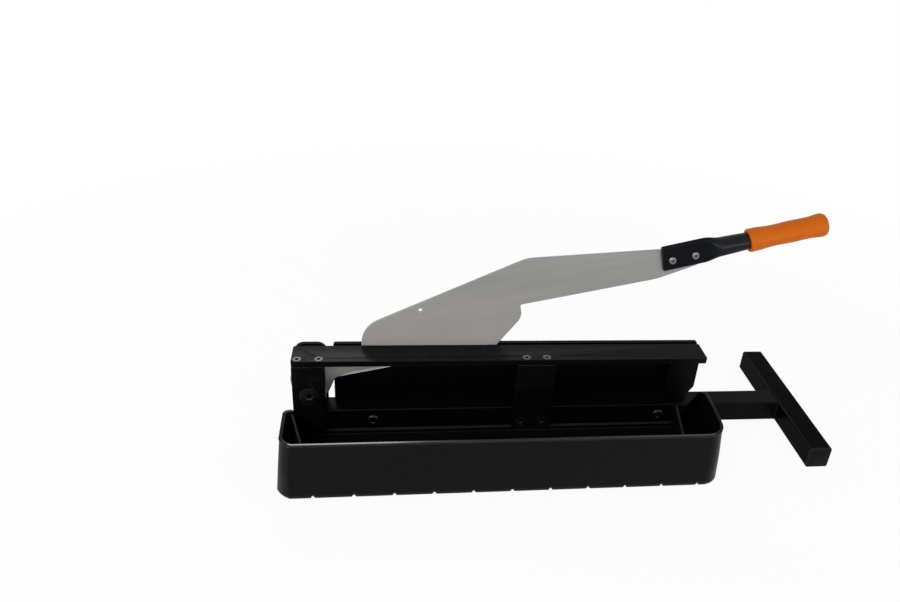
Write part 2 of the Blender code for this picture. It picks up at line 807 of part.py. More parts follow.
def tray_shell():
    """Walls and floor with rounded lower edges and a bead round the rim."""
    loops = []
    for k in range(tray_edge_steps + 1):
        turn = math.pi / 2 * k / tray_edge_steps
        side = tray_edge * (1 - math.sin(turn))
        loops.append(tray_loop(tray_edge * (1 - math.cos(turn)), side, tray_front_corner - side,
                               tray_back_corner - side))
    bead = tray_height - tray_rim_height
    bead_out = tray_rim_step
    loops.append(tray_loop(bead - tray_rim_step, 0, tray_front_corner, tray_back_corner))
    loops.append(tray_loop(bead, -bead_out, tray_front_corner + bead_out, tray_back_corner + bead_out))
    loops.append(tray_loop(tray_height - tray_rim_round, -bead_out, tray_front_corner + bead_out,
                           tray_back_corner + bead_out))
    loops.append(tray_loop(tray_height, tray_rim_round - bead_out, tray_front_corner, tray_back_corner))
    inner_front = tray_front_corner - tray_wall
    inner_back = tray_back_corner - tray_wall
    loops.append(tray_loop(tray_height, tray_wall, inner_front, inner_back))
    for k in range(tray_edge_steps, -1, -1):
        turn = math.pi / 2 * k / tray_edge_steps
        side = tray_edge * (1 - math.sin(turn))
        tighter = side * tray_inner_corner_share
        loops.append(tray_loop(tray_floor + tray_edge * (1 - math.cos(turn)), tray_wall + side,
                               inner_front - tighter, inner_back - tighter))
    return loft(loops)


def make_tray():
    """Open tray with its back cut low, two stiffening ribs and a row of grooves under the floor."""
    tray = add_piece("waste_tray", "black_plastic", tray_shell())
    rib_levels = ((tray_floor / 2, tray_front_flare), (tray_height - tray_rib_drop, 0))

    def rib_shape(front_x, back_x):
        half = tray_rib / 2
        loops = []
        for height, flare in rib_levels:
            front = tray_wall / 2 - tray_front - flare
            loops.append([(front_x - half, front, height), (front_x + half, front, height),
                          (back_x + half, -tray_rib_end, height), (back_x - half, -tray_rib_end, height)])
        return loft(loops)

    low = tray_floor + tray_sill
    high = tray_height + overrun
    low_lip = tray_lip + (tray_height - low) * math.tan(tray_lip_slope)
    high_lip = tray_lip - overrun * math.tan(tray_lip_slope)
    opening = prism([(tray_left + low_lip, low), (tray_right - low_lip, low),
                     (tray_right - high_lip, high), (tray_left + high_lip, high)],
                    "xz", tray_back - tray_lean_left - tray_wall - overrun, tray_back + overrun)
    carve(tray, "tray_back_opening", opening)
    left_rib = rib_shape(tray_left + left_rib_front, tray_left + left_rib_back)
    right_rib = rib_shape(tray_right - right_rib_front, tray_right - right_rib_back)
    carve(tray, "tray_left_rib", left_rib, "UNION")
    carve(tray, "tray_right_rib", right_rib, "UNION")

    first = tray_left - tray_flare + groove_first
    groove = rod("xz", 2 * groove_radius, -tray_front - tray_front_flare - overrun, tray_back + overrun)
    grooves = copies(groove, [(first + k * groove_pitch, 0, 0) for k in range(groove_count)])
    carve(tray, "tray_grooves", grooves)


def make_cutter():
    clear_objects()
    beam = make_base()
    pivot_post, cheek = make_frame(beam)
    make_pivot(pivot_post, cheek)
    arm = add_empty("arm_pivot", location=(pivot_x, 0, pivot_height), turn=(0, -rest_angle, 0))
    lap_centre = blade_front - seat_gap - lap_thickness / 2
    handle = add_empty("handle_frame", arm, (handle_place, lap_centre, handle_height), (0, -handle_tilt, 0))
    make_blade(arm, handle)
    make_handle(handle)
    make_tray()


make_cutter()
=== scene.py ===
from math import acos, atan2, ceil, cos, pi, radians, sin, tan

import bmesh
import bpy
import numpy as np
from mathutils import Matrix, Vector
from mathutils.geometry import delaunay_2d_cdt


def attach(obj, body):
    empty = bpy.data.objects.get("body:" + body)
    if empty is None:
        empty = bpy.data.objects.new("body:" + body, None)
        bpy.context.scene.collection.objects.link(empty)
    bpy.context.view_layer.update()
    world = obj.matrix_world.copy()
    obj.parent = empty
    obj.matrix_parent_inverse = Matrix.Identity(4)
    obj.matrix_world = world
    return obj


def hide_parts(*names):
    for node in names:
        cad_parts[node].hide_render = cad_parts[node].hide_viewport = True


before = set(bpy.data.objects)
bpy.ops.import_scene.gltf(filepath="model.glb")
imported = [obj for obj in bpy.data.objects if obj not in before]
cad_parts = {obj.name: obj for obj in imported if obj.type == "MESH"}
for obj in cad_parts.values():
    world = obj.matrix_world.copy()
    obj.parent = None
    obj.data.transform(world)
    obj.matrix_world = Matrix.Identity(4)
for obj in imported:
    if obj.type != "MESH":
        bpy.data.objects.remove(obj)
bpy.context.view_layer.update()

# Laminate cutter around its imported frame. Metres, the beam along X, the tray towards -Y, Z up.
samePoint = 2e-6
sharpAngle = radians(38)
finest = 1e-9            # distance below which the fill of a flat takes two points as one
noFlat = 1.0             # half width across flats of a ring that is plain round


# surfaces

def unit(vectors):
    # vectors over their own lengths
    return vectors / np.maximum(np.linalg.norm(vectors, axis=-1, keepdims=True), 1e-12)


def ease(share):
    # 3s^2 - 2s^3, from 0 to 1 with level ends
    share = np.clip(share, 0.0, 1.0)
    return share * share * (3 - 2 * share)


def onPlane(plane, centre=(0.0, 0.0, 0.0)):
    # u and v in the named plane and w across it, from a centre
    order = {"xz": (0, 2, 1), "yz": (2, 0, 1), "xy": (0, 1, 2)}[plane]
    return lambda u, v, w: np.stack(np.broadcast_arrays(u, v, w), -1)[..., order] + centre


def turnedPlace(place, turn, u0, v0):
    # the same plane turned about w, then moved by (u0, v0)
    across, up = cos(turn), sin(turn)
    return lambda u, v, w: place(u0 + u * across - v * up, v0 + u * up + v * across, w)


def roundedOutline(corners, largestTurn=radians(9), largestStep=0.004):
    # closed outline through (u, v, radius) corners, each an arc tangent to both of its sides
    arcs = []
    for i, (u, v, radius) in enumerate(corners):
        here = np.array((u, v))
        back = unit(np.array(corners[i - 1][:2]) - here)
        ahead = unit(np.array(corners[(i + 1) % len(corners)][:2]) - here)
        half = acos(max(-1.0, min(1.0, float(back @ ahead)))) / 2
        centre = here + unit(back + ahead) * radius / sin(half)
        first = here + back * radius / tan(half) - centre
        last = here + ahead * radius / tan(half) - centre
        sweep = atan2(first[0] * last[1] - first[1] * last[0], float(first @ last))
        count = max(2, ceil(abs(sweep) / largestTurn), ceil(abs(sweep) * radius / largestStep))
        turn = np.linspace(0, sweep, count + 1)
        arcs.append(centre + np.stack((first[0] * np.cos(turn) - first[1] * np.sin(turn),
                                       first[0] * np.sin(turn) + first[1] * np.cos(turn)), -1))
    outline = np.concatenate(arcs)
    apart = np.linalg.norm(outline - np.roll(outline, 1, 0), axis=1) > samePoint
    return outline[apart]


def rectangle(left, right, low, high, radius):
    # its four corners, all with one radius
    return [(left, low, radius), (right, low, radius), (right, high, radius), (left, high, radius)]


def hole(u, v, diameter, sides=48):
    # circle that runs backwards, so that its material lies on its left
    turn = -2 * pi * np.arange(sides) / sides
    return np.stack((u + diameter / 2 * np.cos(turn), v + diameter / 2 * np.sin(turn)), -1)


def insetLoop(loop, depth):
    # each point moved to the left of the loop's direction, square to its two sides
    before = unit(loop - np.roll(loop, 1, 0))
    after = unit(np.roll(loop, -1, 0) - loop)
    normalBefore = np.stack((-before[:, 1], before[:, 0]), -1)
    mitre = unit(normalBefore + np.stack((-after[:, 1], after[:, 0]), -1))
    return loop + mitre * (depth / np.maximum((mitre * normalBefore).sum(1), 0.5))[:, None]


def fillFlat(loops, extra=None):
    # triangles over the area inside the first loop and outside the others
    points = np.concatenate(loops if extra is None else [*loops, extra])
    edges, start = [], 0
    for loop in loops:
        index = np.arange(len(loop))
        edges += np.stack((start + index, start + (index + 1) % len(loop)), -1).tolist()
        start += len(loop)
    found = delaunay_2d_cdt([Vector(p) for p in points], edges, [], 0, finest)
    points, triangles = np.array(found[0]), np.array(found[2])
    middle = points[triangles].mean(1)
    crossings = np.zeros(len(middle), int)
    for loop in loops:
        a, b = loop[None], np.roll(loop, -1, 0)[None]
        x, y = middle[:, 0][:, None], middle[:, 1][:, None]
        level = (a[..., 1] > y) != (b[..., 1] > y)
        rise = np.where(level, b[..., 1] - a[..., 1], 1.0)
        crossings += (level & (x < a[..., 0] + (y - a[..., 1]) / rise * (b[..., 0] - a[..., 0]))).sum(1)
    return points, triangles[crossings % 2 == 1]


class Skin:
    # points and faces of one piece, gathered patch by patch, and how much of an edge each point is

    def __init__(self):
        self.points, self.faces, self.wear, self.total = [], [], [], 0

    def add(self, points, faces, wear=0.0):
        # one patch, whose faces number its own points from 0
        points = points.reshape(-1, 3)
        self.points.append(points)
        self.wear.append(np.zeros(len(points)) + wear)
        self.faces.extend((faces + self.total).tolist())
        self.total += len(points)

    def grid(self, points, wear=0.0, around=False, endless=False):
        # a four-sided face between each four neighbours; around closes the rows, endless the columns
        rows, columns = points.shape[:2]
        row = np.arange(rows if endless else rows - 1)[:, None]
        column = np.arange(columns if around else columns - 1)[None, :]
        nextRow, nextColumn = (row + 1) % rows, (column + 1) % columns
        corners = (row * columns + column, row * columns + nextColumn,
                   nextRow * columns + nextColumn, nextRow * columns + column)
        wear = np.broadcast_to(np.reshape(wear, (-1, 1)) if np.ndim(wear) == 1 else wear, (rows, columns))
        self.add(points, np.stack(np.broadcast_arrays(*corners), -1).reshape(-1, 4), wear.ravel())

    def flat(self, place, loops, level, extra=None):
        # the first loop without the others, at the height that level gives for each point
        points, triangles = fillFlat(loops, extra)
        self.add(place(points[:, 0], points[:, 1], level(points)), triangles)


def roundEdge(radius, steps=4):
    # a quarter circle as rows of (inset, depth, wear), from the flat face to the side
    turn = np.linspace(0, pi / 2, steps + 1)
    return np.stack((radius * (1 - np.sin(turn)), radius * (1 - np.cos(turn)), np.sin(2 * turn)), -1)


drilledRim = roundEdge(0.0002, 2)  # the broken rim of a drilled hole


def sunkEdge(shank, head, depth, rim=0.0002):
    # a countersink as rows of (inset, depth, wear), with its rim just broken
    wide = (head - shank) / 2
    return np.array([(wide + rim, 0, 0.6), (wide + rim * 0.3, rim * 0.3, 1), (wide, rim, 0.6), (0, depth, 0)])


def plate(skin, place, edges, front, back, relief=None, extra=None):
    # flat part: each (outline, front rows, back rows) is carried from face to face, and the faces
    # are filled between the outlines; relief sinks the front face as a function of its place
    sink = relief or (lambda points: np.zeros(len(points)))
    frontLoops, backLoops = [], []
    for outline, frontRows, backRows in edges:
        grid, wear = [], []
        for inset, depth, worn in frontRows:
            loop = insetLoop(outline, inset)
            grid.append(place(loop[:, 0], loop[:, 1], front + depth + sink(loop)))
            wear.append(worn)
        for inset, depth, worn in backRows[::-1]:
            loop = insetLoop(outline, inset)
            grid.append(place(loop[:, 0], loop[:, 1], np.full(len(loop), back - depth)))
            wear.append(worn)
        skin.grid(np.array(grid), np.array(wear), around=True)
        frontLoops.append(insetLoop(outline, frontRows[0][0]))
        backLoops.append(insetLoop(outline, backRows[0][0]))
    skin.flat(place, frontLoops, lambda points: front + sink(points), extra)
    skin.flat(place, backLoops, lambda points: np.full(len(points), back))


def turned(skin, place, rings, sides=48, endless=False, pitch=0.0, cut=0.0):
    # rings of (w, radius, half width across flats) about the w axis: at each turn the nearer of the
    # circle and the hexagon counts. A ring with a wear of 2 or more is cut by a screw thread
    table = np.array([(*ring, *(noFlat, 0.0)[len(ring) - 2:]) for ring in rings], float)
    w, radius, flat, wear = table.T
    turn = 2 * pi * np.arange(sides) / sides
    reach = np.minimum(radius[:, None], flat[:, None] / np.cos(np.mod(turn, pi / 3) - pi / 6))
    if pitch:
        wave = np.abs(np.mod(w[:, None] / pitch - turn / (2 * pi), 1.0) * 2 - 1)
        reach = reach - cut * wave * (wear[:, None] >= 2)
    points = place(reach * np.cos(turn), reach * np.sin(turn), np.broadcast_to(w[:, None], reach.shape))
    skin.grid(points, np.minimum(wear, 1.0), around=True, endless=endless)


def makePiece(skin, name, body, material, *nodes, slot=None, weighted=True):
    # the gathered patches as one object: seams merged, faces outwards, flat faces kept flat
    mesh = bpy.data.meshes.new(name)
    mesh.from_pydata(np.concatenate(skin.points).tolist(), [], skin.faces)
    wear = mesh.attributes.new("edge", "FLOAT", "POINT")
    wear.data.foreach_set("value", np.concatenate(skin.wear).astype(np.float32))
    shape = bmesh.new()
    shape.from_mesh(mesh)
    bmesh.ops.remove_doubles(shape, verts=shape.verts, dist=samePoint)
    bmesh.ops.recalc_face_normals(shape, faces=shape.faces)
    shape.to_mesh(mesh)
    shape.free()
    mesh.shade_smooth()
    mesh.set_sharp_from_angle(angle=sharpAngle)
    mesh.materials.append(material)
    item = bpy.data.objects.new(name, mesh)
    bpy.context.scene.collection.objects.link(item)
    if weighted:
        flatten = item.modifiers.new("flatFaces", "WEIGHTED_NORMAL")
        flatten.keep_sharp = True
        flatten.weight = 80
    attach(item, body)
    if nodes:
        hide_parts(*nodes)


def turnedPiece(shape, place, sizes, name, body, material, node):
    # one screw, nut or ring as a piece of its own
    skin = Skin()
    shape(skin, place, *sizes)
    makePiece(skin, name, body, material, node)


# finishes

class Wire:
    # a node's output that can be used in sums

    def __init__(self, nodes, socket):
        self.nodes, self.socket = nodes, socket

    def maths(self, operation, first, second):
        # a Math node on two values or sockets
        return self.nodes.node("Math", {"operation": operation}, {0: first, 1: second})

    def larger(self, other):
        # the larger of the two
        return self.maths("MAXIMUM", self, other)

    def __add__(self, other):
        return self.maths("ADD", self, other)

    __radd__ = __add__

    def __sub__(self, other):
        return self.maths("SUBTRACT", self, other)

    def __rsub__(self, other):
        return self.maths("SUBTRACT", other, self)

    def __mul__(self, other):
        return self.maths("MULTIPLY", self, other)

    __rmul__ = __mul__


class Nodes:
    # the nodes of one world or material

    def __init__(self, owner):
        owner.use_nodes = True
        self.tree = owner.node_tree

    def node(self, kind, settings=None, sockets=None, out=0):
        # a node of this kind: its settings, the values or links of its sockets, and the output wanted
        made = self.tree.nodes.new("ShaderNode" + kind)
        for key, value in (settings or {}).items():
            if key == "stops":
                for element, (spot, grey) in zip(made.color_ramp.elements, value):
                    element.position, element.color = spot, (grey, grey, grey, 1)
            else:
                setattr(made, key, value)
        for key, value in (sockets or {}).items():
            if isinstance(value, Wire):
                self.tree.links.new(value.socket, made.inputs[key])
            else:
                made.inputs[key].default_value = value
        return Wire(self, made.outputs[out])

    def ramp(self, value, low, high):
        # 0 below low, 1 above high
        return self.node("ValToRGB", {"stops": ((low, 0.0), (high, 1.0))}, {0: value})

    def blend(self, factor, first, second):
        # two colours mixed by a factor
        return self.node("Mix", {"data_type": "RGBA"}, {0: factor, 6: first, 7: second}, out=2)

    def seen(self):
        # 1 for a ray from the camera, off a gloss or through glass, else 0
        rays = self.node("LightPath").socket.node.outputs
        kinds = ("Is Camera Ray", "Is Glossy Ray", "Is Transmission Ray")
        camera, gloss, glass = (Wire(self, rays[kind]) for kind in kinds)
        return camera.larger(gloss).larger(glass)


class Finish(Nodes):
    # one procedural material on a Principled shader

    def __init__(self, name, metallic=0.0, **shader):
        self.material = bpy.data.materials.new(name)
        super().__init__(self.material)
        self.shader = self.tree.nodes["Principled BSDF"]
        self.shader.inputs["Metallic"].default_value = metallic
        for socket, value in shader.items():
            self.shader.inputs[socket.replace("_", " ")].default_value = value
        self.place = self.node("TexCoord", out="Object")

    def noise(self, scale, detail=2.0, place=None):
        # clouds of this many per metre, with this many finer layers on them
        sockets = {"Vector": place or self.place, "Scale": scale, "Detail": detail}
        return self.node("TexNoise", {}, sockets, out="Fac")

    def edge(self):
        # how worn the mesh says this place is
        return self.node("Attribute", {"attribute_name": "edge"}, out="Fac")

    def along(self, axis):
        # Object coordinate along a unit axis
        return self.node("VectorMath", {"operation": "DOT_PRODUCT"}, {0: self.place, 1: axis}, out="Value")

    def stretched(self, turn, scale):
        # Object coordinates turned about Y, then squeezed along each axis
        level = self.node("Mapping", {}, {"Vector": self.place, "Rotation": (0.0, turn, 0.0)})
        return self.node("Mapping", {}, {"Vector": level, "Scale": scale})

    def put(self, colour, roughness, height, distance, strength=0.5, coat=None):
        # links colour, roughness, a bump of this height and, where given, the coat to the shader
        bump = self.node("Bump", {}, {"Height": height, "Distance": distance, "Strength": strength})
        wires = {"Base Color": colour, "Roughness": roughness, "Normal": bump, "Coat Weight": coat}
        for socket, wire in wires.items():
            if wire:
                self.tree.links.new(wire.socket, self.shader.inputs[socket])
        return self.material


def rgb(red, green, blue):
    # a colour that hides what is behind it
    return (red, green, blue, 1.0)


paintLook = {"dark": rgb(0.0018, 0.0018, 0.0021), "light": rgb(0.0034, 0.0035, 0.0040),
             "worn": rgb(0.020, 0.020, 0.021), "roughness": 0.31, "gloss": 0.03, "coat": 0.25,
             "coatRoughness": 0.22, "clouds": 22, "rubs": 120, "specks": 900, "hazes": 48, "peel": 650,
             "peelDepth": 0.00006}


def satinPaint(name, look):
    # powder coat: faint clouds, fine orange peel, edges rubbed a little lighter in places
    finish = Finish(name, Specular_IOR_Level=look["gloss"], Coat_Roughness=look["coatRoughness"])
    rubbed = finish.edge() * finish.ramp(finish.noise(look["rubs"], 5), 0.46, 0.68) * 0.55
    specks = finish.ramp(finish.noise(look["specks"]), 0.70, 0.80) * 0.10
    colour = finish.blend(finish.noise(look["clouds"], 4), look["dark"], look["light"])
    colour = finish.blend(rubbed + specks, colour, look["worn"])
    roughness = look["roughness"] - 0.05 + finish.noise(look["hazes"], 5) * 0.14 + rubbed * 0.2
    peel = finish.noise(look["peel"], 3)
    return finish.put(colour, roughness, peel, look["peelDepth"], 0.55, finish.edge() * look["coat"])


steelLook = {"dark": rgb(0.180, 0.179, 0.176), "light": rgb(0.340, 0.335, 0.326),
             "bright": rgb(0.70, 0.70, 0.69), "ground": rgb(0.72, 0.69, 0.63), "turn": radians(12),
             "roughness": 0.40, "metallic": 0.35, "lines": (14, 200, 2600), "bands": (6, 60, 90),
             "drags": (22, 300, 900), "clouds": 16, "lineDepth": 0.00002}


def groundSteel(name, look):
    # flat-ground plate: fine lines along the arm, soft clouds, a few darker drag marks, bright edges,
    # and a painted reflection that makes it paler and warmer towards the cutting edge
    finish = Finish(name, metallic=look["metallic"], Specular_IOR_Level=0.3)
    lines, bands, drags = (finish.stretched(look["turn"], look[kind]) for kind in ("lines", "bands", "drags"))
    fine, broad = finish.noise(1.0, 3, lines), finish.noise(1.0, 3, bands)
    clouds = finish.noise(look["clouds"], 3)
    marks = finish.ramp(finish.noise(1.0, 2, drags), 0.62, 0.74)
    colour = finish.blend(fine * 0.45 + broad * 0.35 + clouds * 0.2, look["dark"], look["light"])
    colour = finish.blend(marks * 0.35, colour, look["dark"])
    # painted reflection: the blade is blended towards a pale warm tint by its height, most at the bottom
    reflectionShare = 1 - finish.ramp(finish.node("SeparateXYZ", {}, {0: finish.place}, out="Z") * 4, 0.46, 0.82)
    colour = finish.blend(reflectionShare * 0.34, colour, look["ground"])
    colour = finish.blend(finish.edge() * 0.6, colour, look["bright"])
    roughness = look["roughness"] - 0.06 + fine * 0.10 + clouds * 0.08
    return finish.put(colour, roughness, fine * 0.7 + broad * 0.3, look["lineDepth"])


platingLook = {"clouds": 140, "hazes": 420, "grain": 1500, "grainDepth": 0.00002,
               "rim": rgb(0.85, 0.85, 0.86)}


def platedSteel(name, dark, light, roughness, rim=0.35, look=platingLook):
    # plating: soft clouds, fine grain, brighter on edges
    finish = Finish(name, metallic=1.0)
    colour = finish.blend(finish.noise(look["clouds"], 4), dark, light)
    colour = finish.blend(finish.edge() * rim, colour, look["rim"])
    roughness = roughness - 0.07 + finish.noise(look["hazes"], 4) * 0.16
    return finish.put(colour, roughness, finish.noise(look["grain"]), look["grainDepth"], 0.4)


plasticLook = {"clouds": 14, "rubs": 75, "hazes": 36, "grainDepth": 0.00005, "scuff": rgb(0.09, 0.09, 0.095),
               "coatRoughness": 0.14}


def mouldedPlastic(name, dark, light, roughness, grain, gloss, scuffs=0.0, coat=0.2, look=plasticLook):
    # moulded plastic: spark-eroded grain, slight flow clouds, pale scuffs where it is rubbed
    finish = Finish(name, Coat_Roughness=look["coatRoughness"], Specular_IOR_Level=gloss)
    colour = finish.blend(finish.noise(look["clouds"], 4), dark, light)
    rubbed = finish.ramp(finish.noise(look["rubs"], 6), 0.60, 0.72) * scuffs + finish.edge() * 0.25 * scuffs
    colour = finish.blend(rubbed, colour, look["scuff"])
    roughness = roughness - 0.05 + finish.noise(look["hazes"], 5) * 0.12 + rubbed * 0.3
    coating = finish.edge() * coat
    return finish.put(colour, roughness, finish.noise(grain, 3), look["grainDepth"], coat=coating)


gripLook = {"light": rgb(0.56, 0.120, 0.0025), "deep": rgb(0.44, 0.088, 0.0025),
            "dirt": rgb(0.26, 0.050, 0.006), "roughness": 0.36, "gloss": 0.10, "clouds": 60, "smears": 190,
            "hazes": 90, "grain": 1100, "grainDepth": 0.00008}


def gripPlastic(name, look):
    # warm orange plastic, a little deeper and duller where hands rub it, with a fine grain
    finish = Finish(name, Specular_IOR_Level=look["gloss"])
    colour = finish.blend(finish.noise(look["clouds"], 4) * 0.8, look["light"], look["deep"])
    dirt = finish.ramp(finish.noise(look["smears"], 6), 0.58, 0.74) * 0.18
    colour = finish.blend(dirt, colour, look["dirt"])
    roughness = look["roughness"] + finish.noise(look["hazes"], 4) * 0.14
    return finish.put(colour, roughness, finish.noise(look["grain"], 3), look["grainDepth"])


paint = satinPaint("satinBlackPaint", paintLook)
tubePaint = satinPaint("handleEnamel", {**paintLook, "dark": rgb(0.0019, 0.0023, 0.0038), "gloss": 0.06,
                                        "light": rgb(0.0034, 0.0042, 0.0070), "roughness": 0.30, "peel": 420,
                                        "coat": 0.45, "coatRoughness": 0.32})
# painted shade: a darker, duller copy of the frame's black paint for the cross foot, which is the same paint
# as the beam
footShadedPaint = satinPaint("footShadedBlackPaint", {**paintLook, "dark": rgb(0.0011, 0.0011, 0.0013), "gloss": 0.010,
                                          "light": rgb(0.0024, 0.0024, 0.0028)})
blackened = platedSteel("blackenedSteel", rgb(0.010, 0.010, 0.011), rgb(0.020, 0.020, 0.022), 0.36, 0.12)
screwZinc = platedSteel("dullZinc", rgb(0.055, 0.056, 0.060), rgb(0.11, 0.11, 0.115), 0.26, 0.6)
zinc = platedSteel("brightZinc", rgb(0.58, 0.59, 0.61), rgb(0.74, 0.74, 0.75), 0.24)
springSteel = platedSteel("springSteel", rgb(0.20, 0.19, 0.18), rgb(0.32, 0.30, 0.28), 0.34)
bronze = platedSteel("bearingBronze", rgb(0.46, 0.28, 0.11), rgb(0.60, 0.40, 0.18), 0.36)
steel = groundSteel("groundBladeSteel", steelLook)
trayPlastic = mouldedPlastic("mouldedTrayPlastic", rgb(0.0022, 0.0025, 0.0029), rgb(0.0036, 0.0040, 0.0045),
                             0.30, 1300, 0.065, scuffs=0.02, coat=0.75)
capPlastic = mouldedPlastic("mouldedCapPlastic", rgb(0.0030, 0.0030, 0.0036), rgb(0.0048, 0.0048, 0.0056),
                            0.34, 900, 0.05)
gripOrange = gripPlastic("orangeGripPlastic", gripLook)
print("finishes made")


# base

base = {"side": 0.030, "wall": 0.002, "corner": 0.0025, "lip": 0.0003, "fade": 0.0015, "beamStart": -0.3247,
        "beamEnd": 0.328, "footStart": 0.3283, "footHalf": 0.1117, "gap": 0.0003, "pivotX": -0.308,
        "middleX": -0.024, "boltPitch": 0.028, "anvilBolts": (-0.230, 0.153), "holeWidth": 0.0086}
middleBolts = (base["middleX"] - base["boltPitch"] / 2, base["middleX"] + base["boltPitch"] / 2)
boltX = (base["pivotX"], *middleBolts, *base["anvilBolts"])
half = base["side"] / 2  # also the height of every bolt through the beam
plug = {"flange": 0.003, "dome": 0.0009, "edge": 0.0014, "foot": 0.0004, "slack": 0.0003, "end": 0.009,
        "chamfer": 0.001, "grooves": (0.0015, 0.0056), "grooveSlope": 0.0007, "grooveFloor": 0.0012,
        "grooveShare": 0.985, "tipShare": 0.93}


def squareTube(skin, place, start, end, sizes):
    # rounded square carried along its length: out along the outside, back along the inside
    lip, fade = sizes["lip"], sizes["fade"]
    outer = roundedOutline(rectangle(-half, half, -half, half, sizes["corner"]))
    inner = insetLoop(outer, sizes["wall"])
    corner = cornerWear(outer[:, 0], outer[:, 1], half, sizes["corner"])
    rows = [(insetLoop(outer, lip), start, 0.5), (outer, start + lip, 0.5), (outer, start + fade, corner),
            (outer, end - fade, corner), (outer, end - lip, 0.5), (insetLoop(outer, lip), end, 0.5),
            (inner, end, 0.0), (inner, start, 0.0)]
    grid = np.array([place(loop[:, 0], loop[:, 1], w) for loop, w, _ in rows])
    skin.grid(grid, np.array([np.full(len(outer), worn) for _, _, worn in rows]), around=True, endless=True)


def cornerWear(u, v, half, corner):
    # half wear at the middle of a square tube's round corners, none on its flats
    return 0.5 * np.clip((np.minimum(np.abs(u), np.abs(v)) - half + corner) / (corner * 0.7), 0, 1)


def drilledTube(skin, sizes):
    # the beam: top, bottom and corners as strips, front and back walls filled round their bolt holes
    thick, corner, start, end = (sizes[key] for key in ("wall", "corner", "beamStart", "beamEnd"))
    turn = np.linspace(0, pi / 2, 7)
    for reach, radius in ((half, corner), (half - thick, corner - thick)):
        for side, up in ((1, 1), (1, -1), (-1, 1), (-1, -1)):
            y = side * (reach - radius + radius * np.cos(turn))
            z = half + up * (reach - radius + radius * np.sin(turn))
            x = np.array([start, end])[:, None]
            worn = np.tile(cornerWear(y, z - half, reach, radius), (2, 1))
            skin.grid(np.stack(np.broadcast_arrays(x, y, z), -1), worn)
        flat = reach - radius
        for up in (1, -1):
            skin.grid(np.array([[(x, y, half + up * reach) for y in (-flat, flat)] for x in (start, end)]))
        wallFace = roundedOutline(rectangle(start, end, half - flat, half + flat, 0))
        holes = [hole(x, half, sizes["holeWidth"]) for x in boltX]
        for side in (1, -1):
            skin.flat(onPlane("xz"), [wallFace, *holes], lambda p: np.full(len(p), side * reach))
    for ring in holes:
        for side in (1, -1):
            walls = [onPlane("xz")(ring[:, 0], ring[:, 1], side * w) for w in (half - thick, half)]
            skin.grid(np.array(walls), around=True)
    loops = [roundedSquare(half, corner, turn), roundedSquare(half - thick, corner - thick, turn)]
    for x in (start, end):
        rims = [onPlane("yz", (0, 0, half))(loop[:, 0], loop[:, 1], x) for loop in loops]
        skin.grid(np.array(rims), around=True)


def roundedSquare(half, radius, turn):
    # the four quarter circles of a rounded square, one after another
    arcs = []
    for quarter in range(4):
        angle = turn + quarter * pi / 2
        middle = (half - radius) * np.array([(1, 1), (-1, 1), (-1, -1), (1, -1)])[quarter]
        arcs.append(np.stack((middle[0] + radius * np.cos(angle), middle[1] + radius * np.sin(angle)), -1))
    return np.concatenate(arcs)


def endCap(skin, place, corner, reach):
    # plug behind a flange at w = 0: the flange's rounded square shrinks to its middle over a low dome,
    # which falls with the square of the way out, and the stem has a few snap grooves
    flange = roundedOutline(rectangle(-half, half, -half, half, corner))
    stem = flange * (reach / half)
    dome, edge, foot = plug["dome"], plug["edge"], plug["foot"]
    face = dome - plug["flange"]
    shares = np.linspace(0.0, 0.88, 9)
    rows = [(flange * share, face - dome * (1 - (share / 0.9) ** 2), 0) for share in shares]
    for turn in np.linspace(0.2, 1, 6) * pi / 2:
        rows.append((insetLoop(flange, edge * (1 - sin(turn))), face + edge * (1 - cos(turn)), sin(2 * turn)))
    rows += [(insetLoop(flange, foot / 2), -foot / 2, 0), (insetLoop(flange, foot), 0.0, 0), (stem, 0.0, 0)]
    for start in plug["grooves"]:
        low, high = start + plug["grooveSlope"], start + plug["grooveSlope"] + plug["grooveFloor"]
        groove = stem * plug["grooveShare"]
        rows += [(stem, start, 0), (groove, low, 0), (groove, high, 0), (stem, high + plug["grooveSlope"], 0)]
    end, tip = plug["end"], plug["end"] + plug["chamfer"]
    rows += [(stem, end, 0), (stem * plug["tipShare"], tip, 0), (stem * 0, tip, 0)]
    grid = np.array([place(loop[:, 0], loop[:, 1], w) for loop, w, _ in rows])
    skin.grid(grid, np.array([worn for _, _, worn in rows], float), around=True)


footX = base["footStart"] + half
beamSkin = Skin()
drilledTube(beamSkin, base)
makePiece(beamSkin, "beamTube", "base", paint, "beam")
footSkin = Skin()
squareTube(footSkin, onPlane("xz", (footX, 0, half)), -base["footHalf"], base["footHalf"], base)
makePiece(footSkin, "footTube", "base", footShadedPaint, "cross_foot")
footEnd = base["footHalf"] + base["gap"]
capPlaces = {
    "foot_cap_front": lambda u, v, w: onPlane("xz", (footX, -footEnd, half))(u, v, w),
    "foot_cap_rear": lambda u, v, w: onPlane("xz", (footX, footEnd, half))(-u, v, -w),
    "beam_cap": lambda u, v, w: onPlane("yz", (base["beamStart"] - base["gap"], 0, half))(-u, v, w),
}
capSizes = (base["corner"], half - base["wall"] - plug["slack"])
for node, place in capPlaces.items():
    turnedPiece(endCap, place, capSizes, node + "_plug", "base", capPlastic, node)


# posts, rail and plates

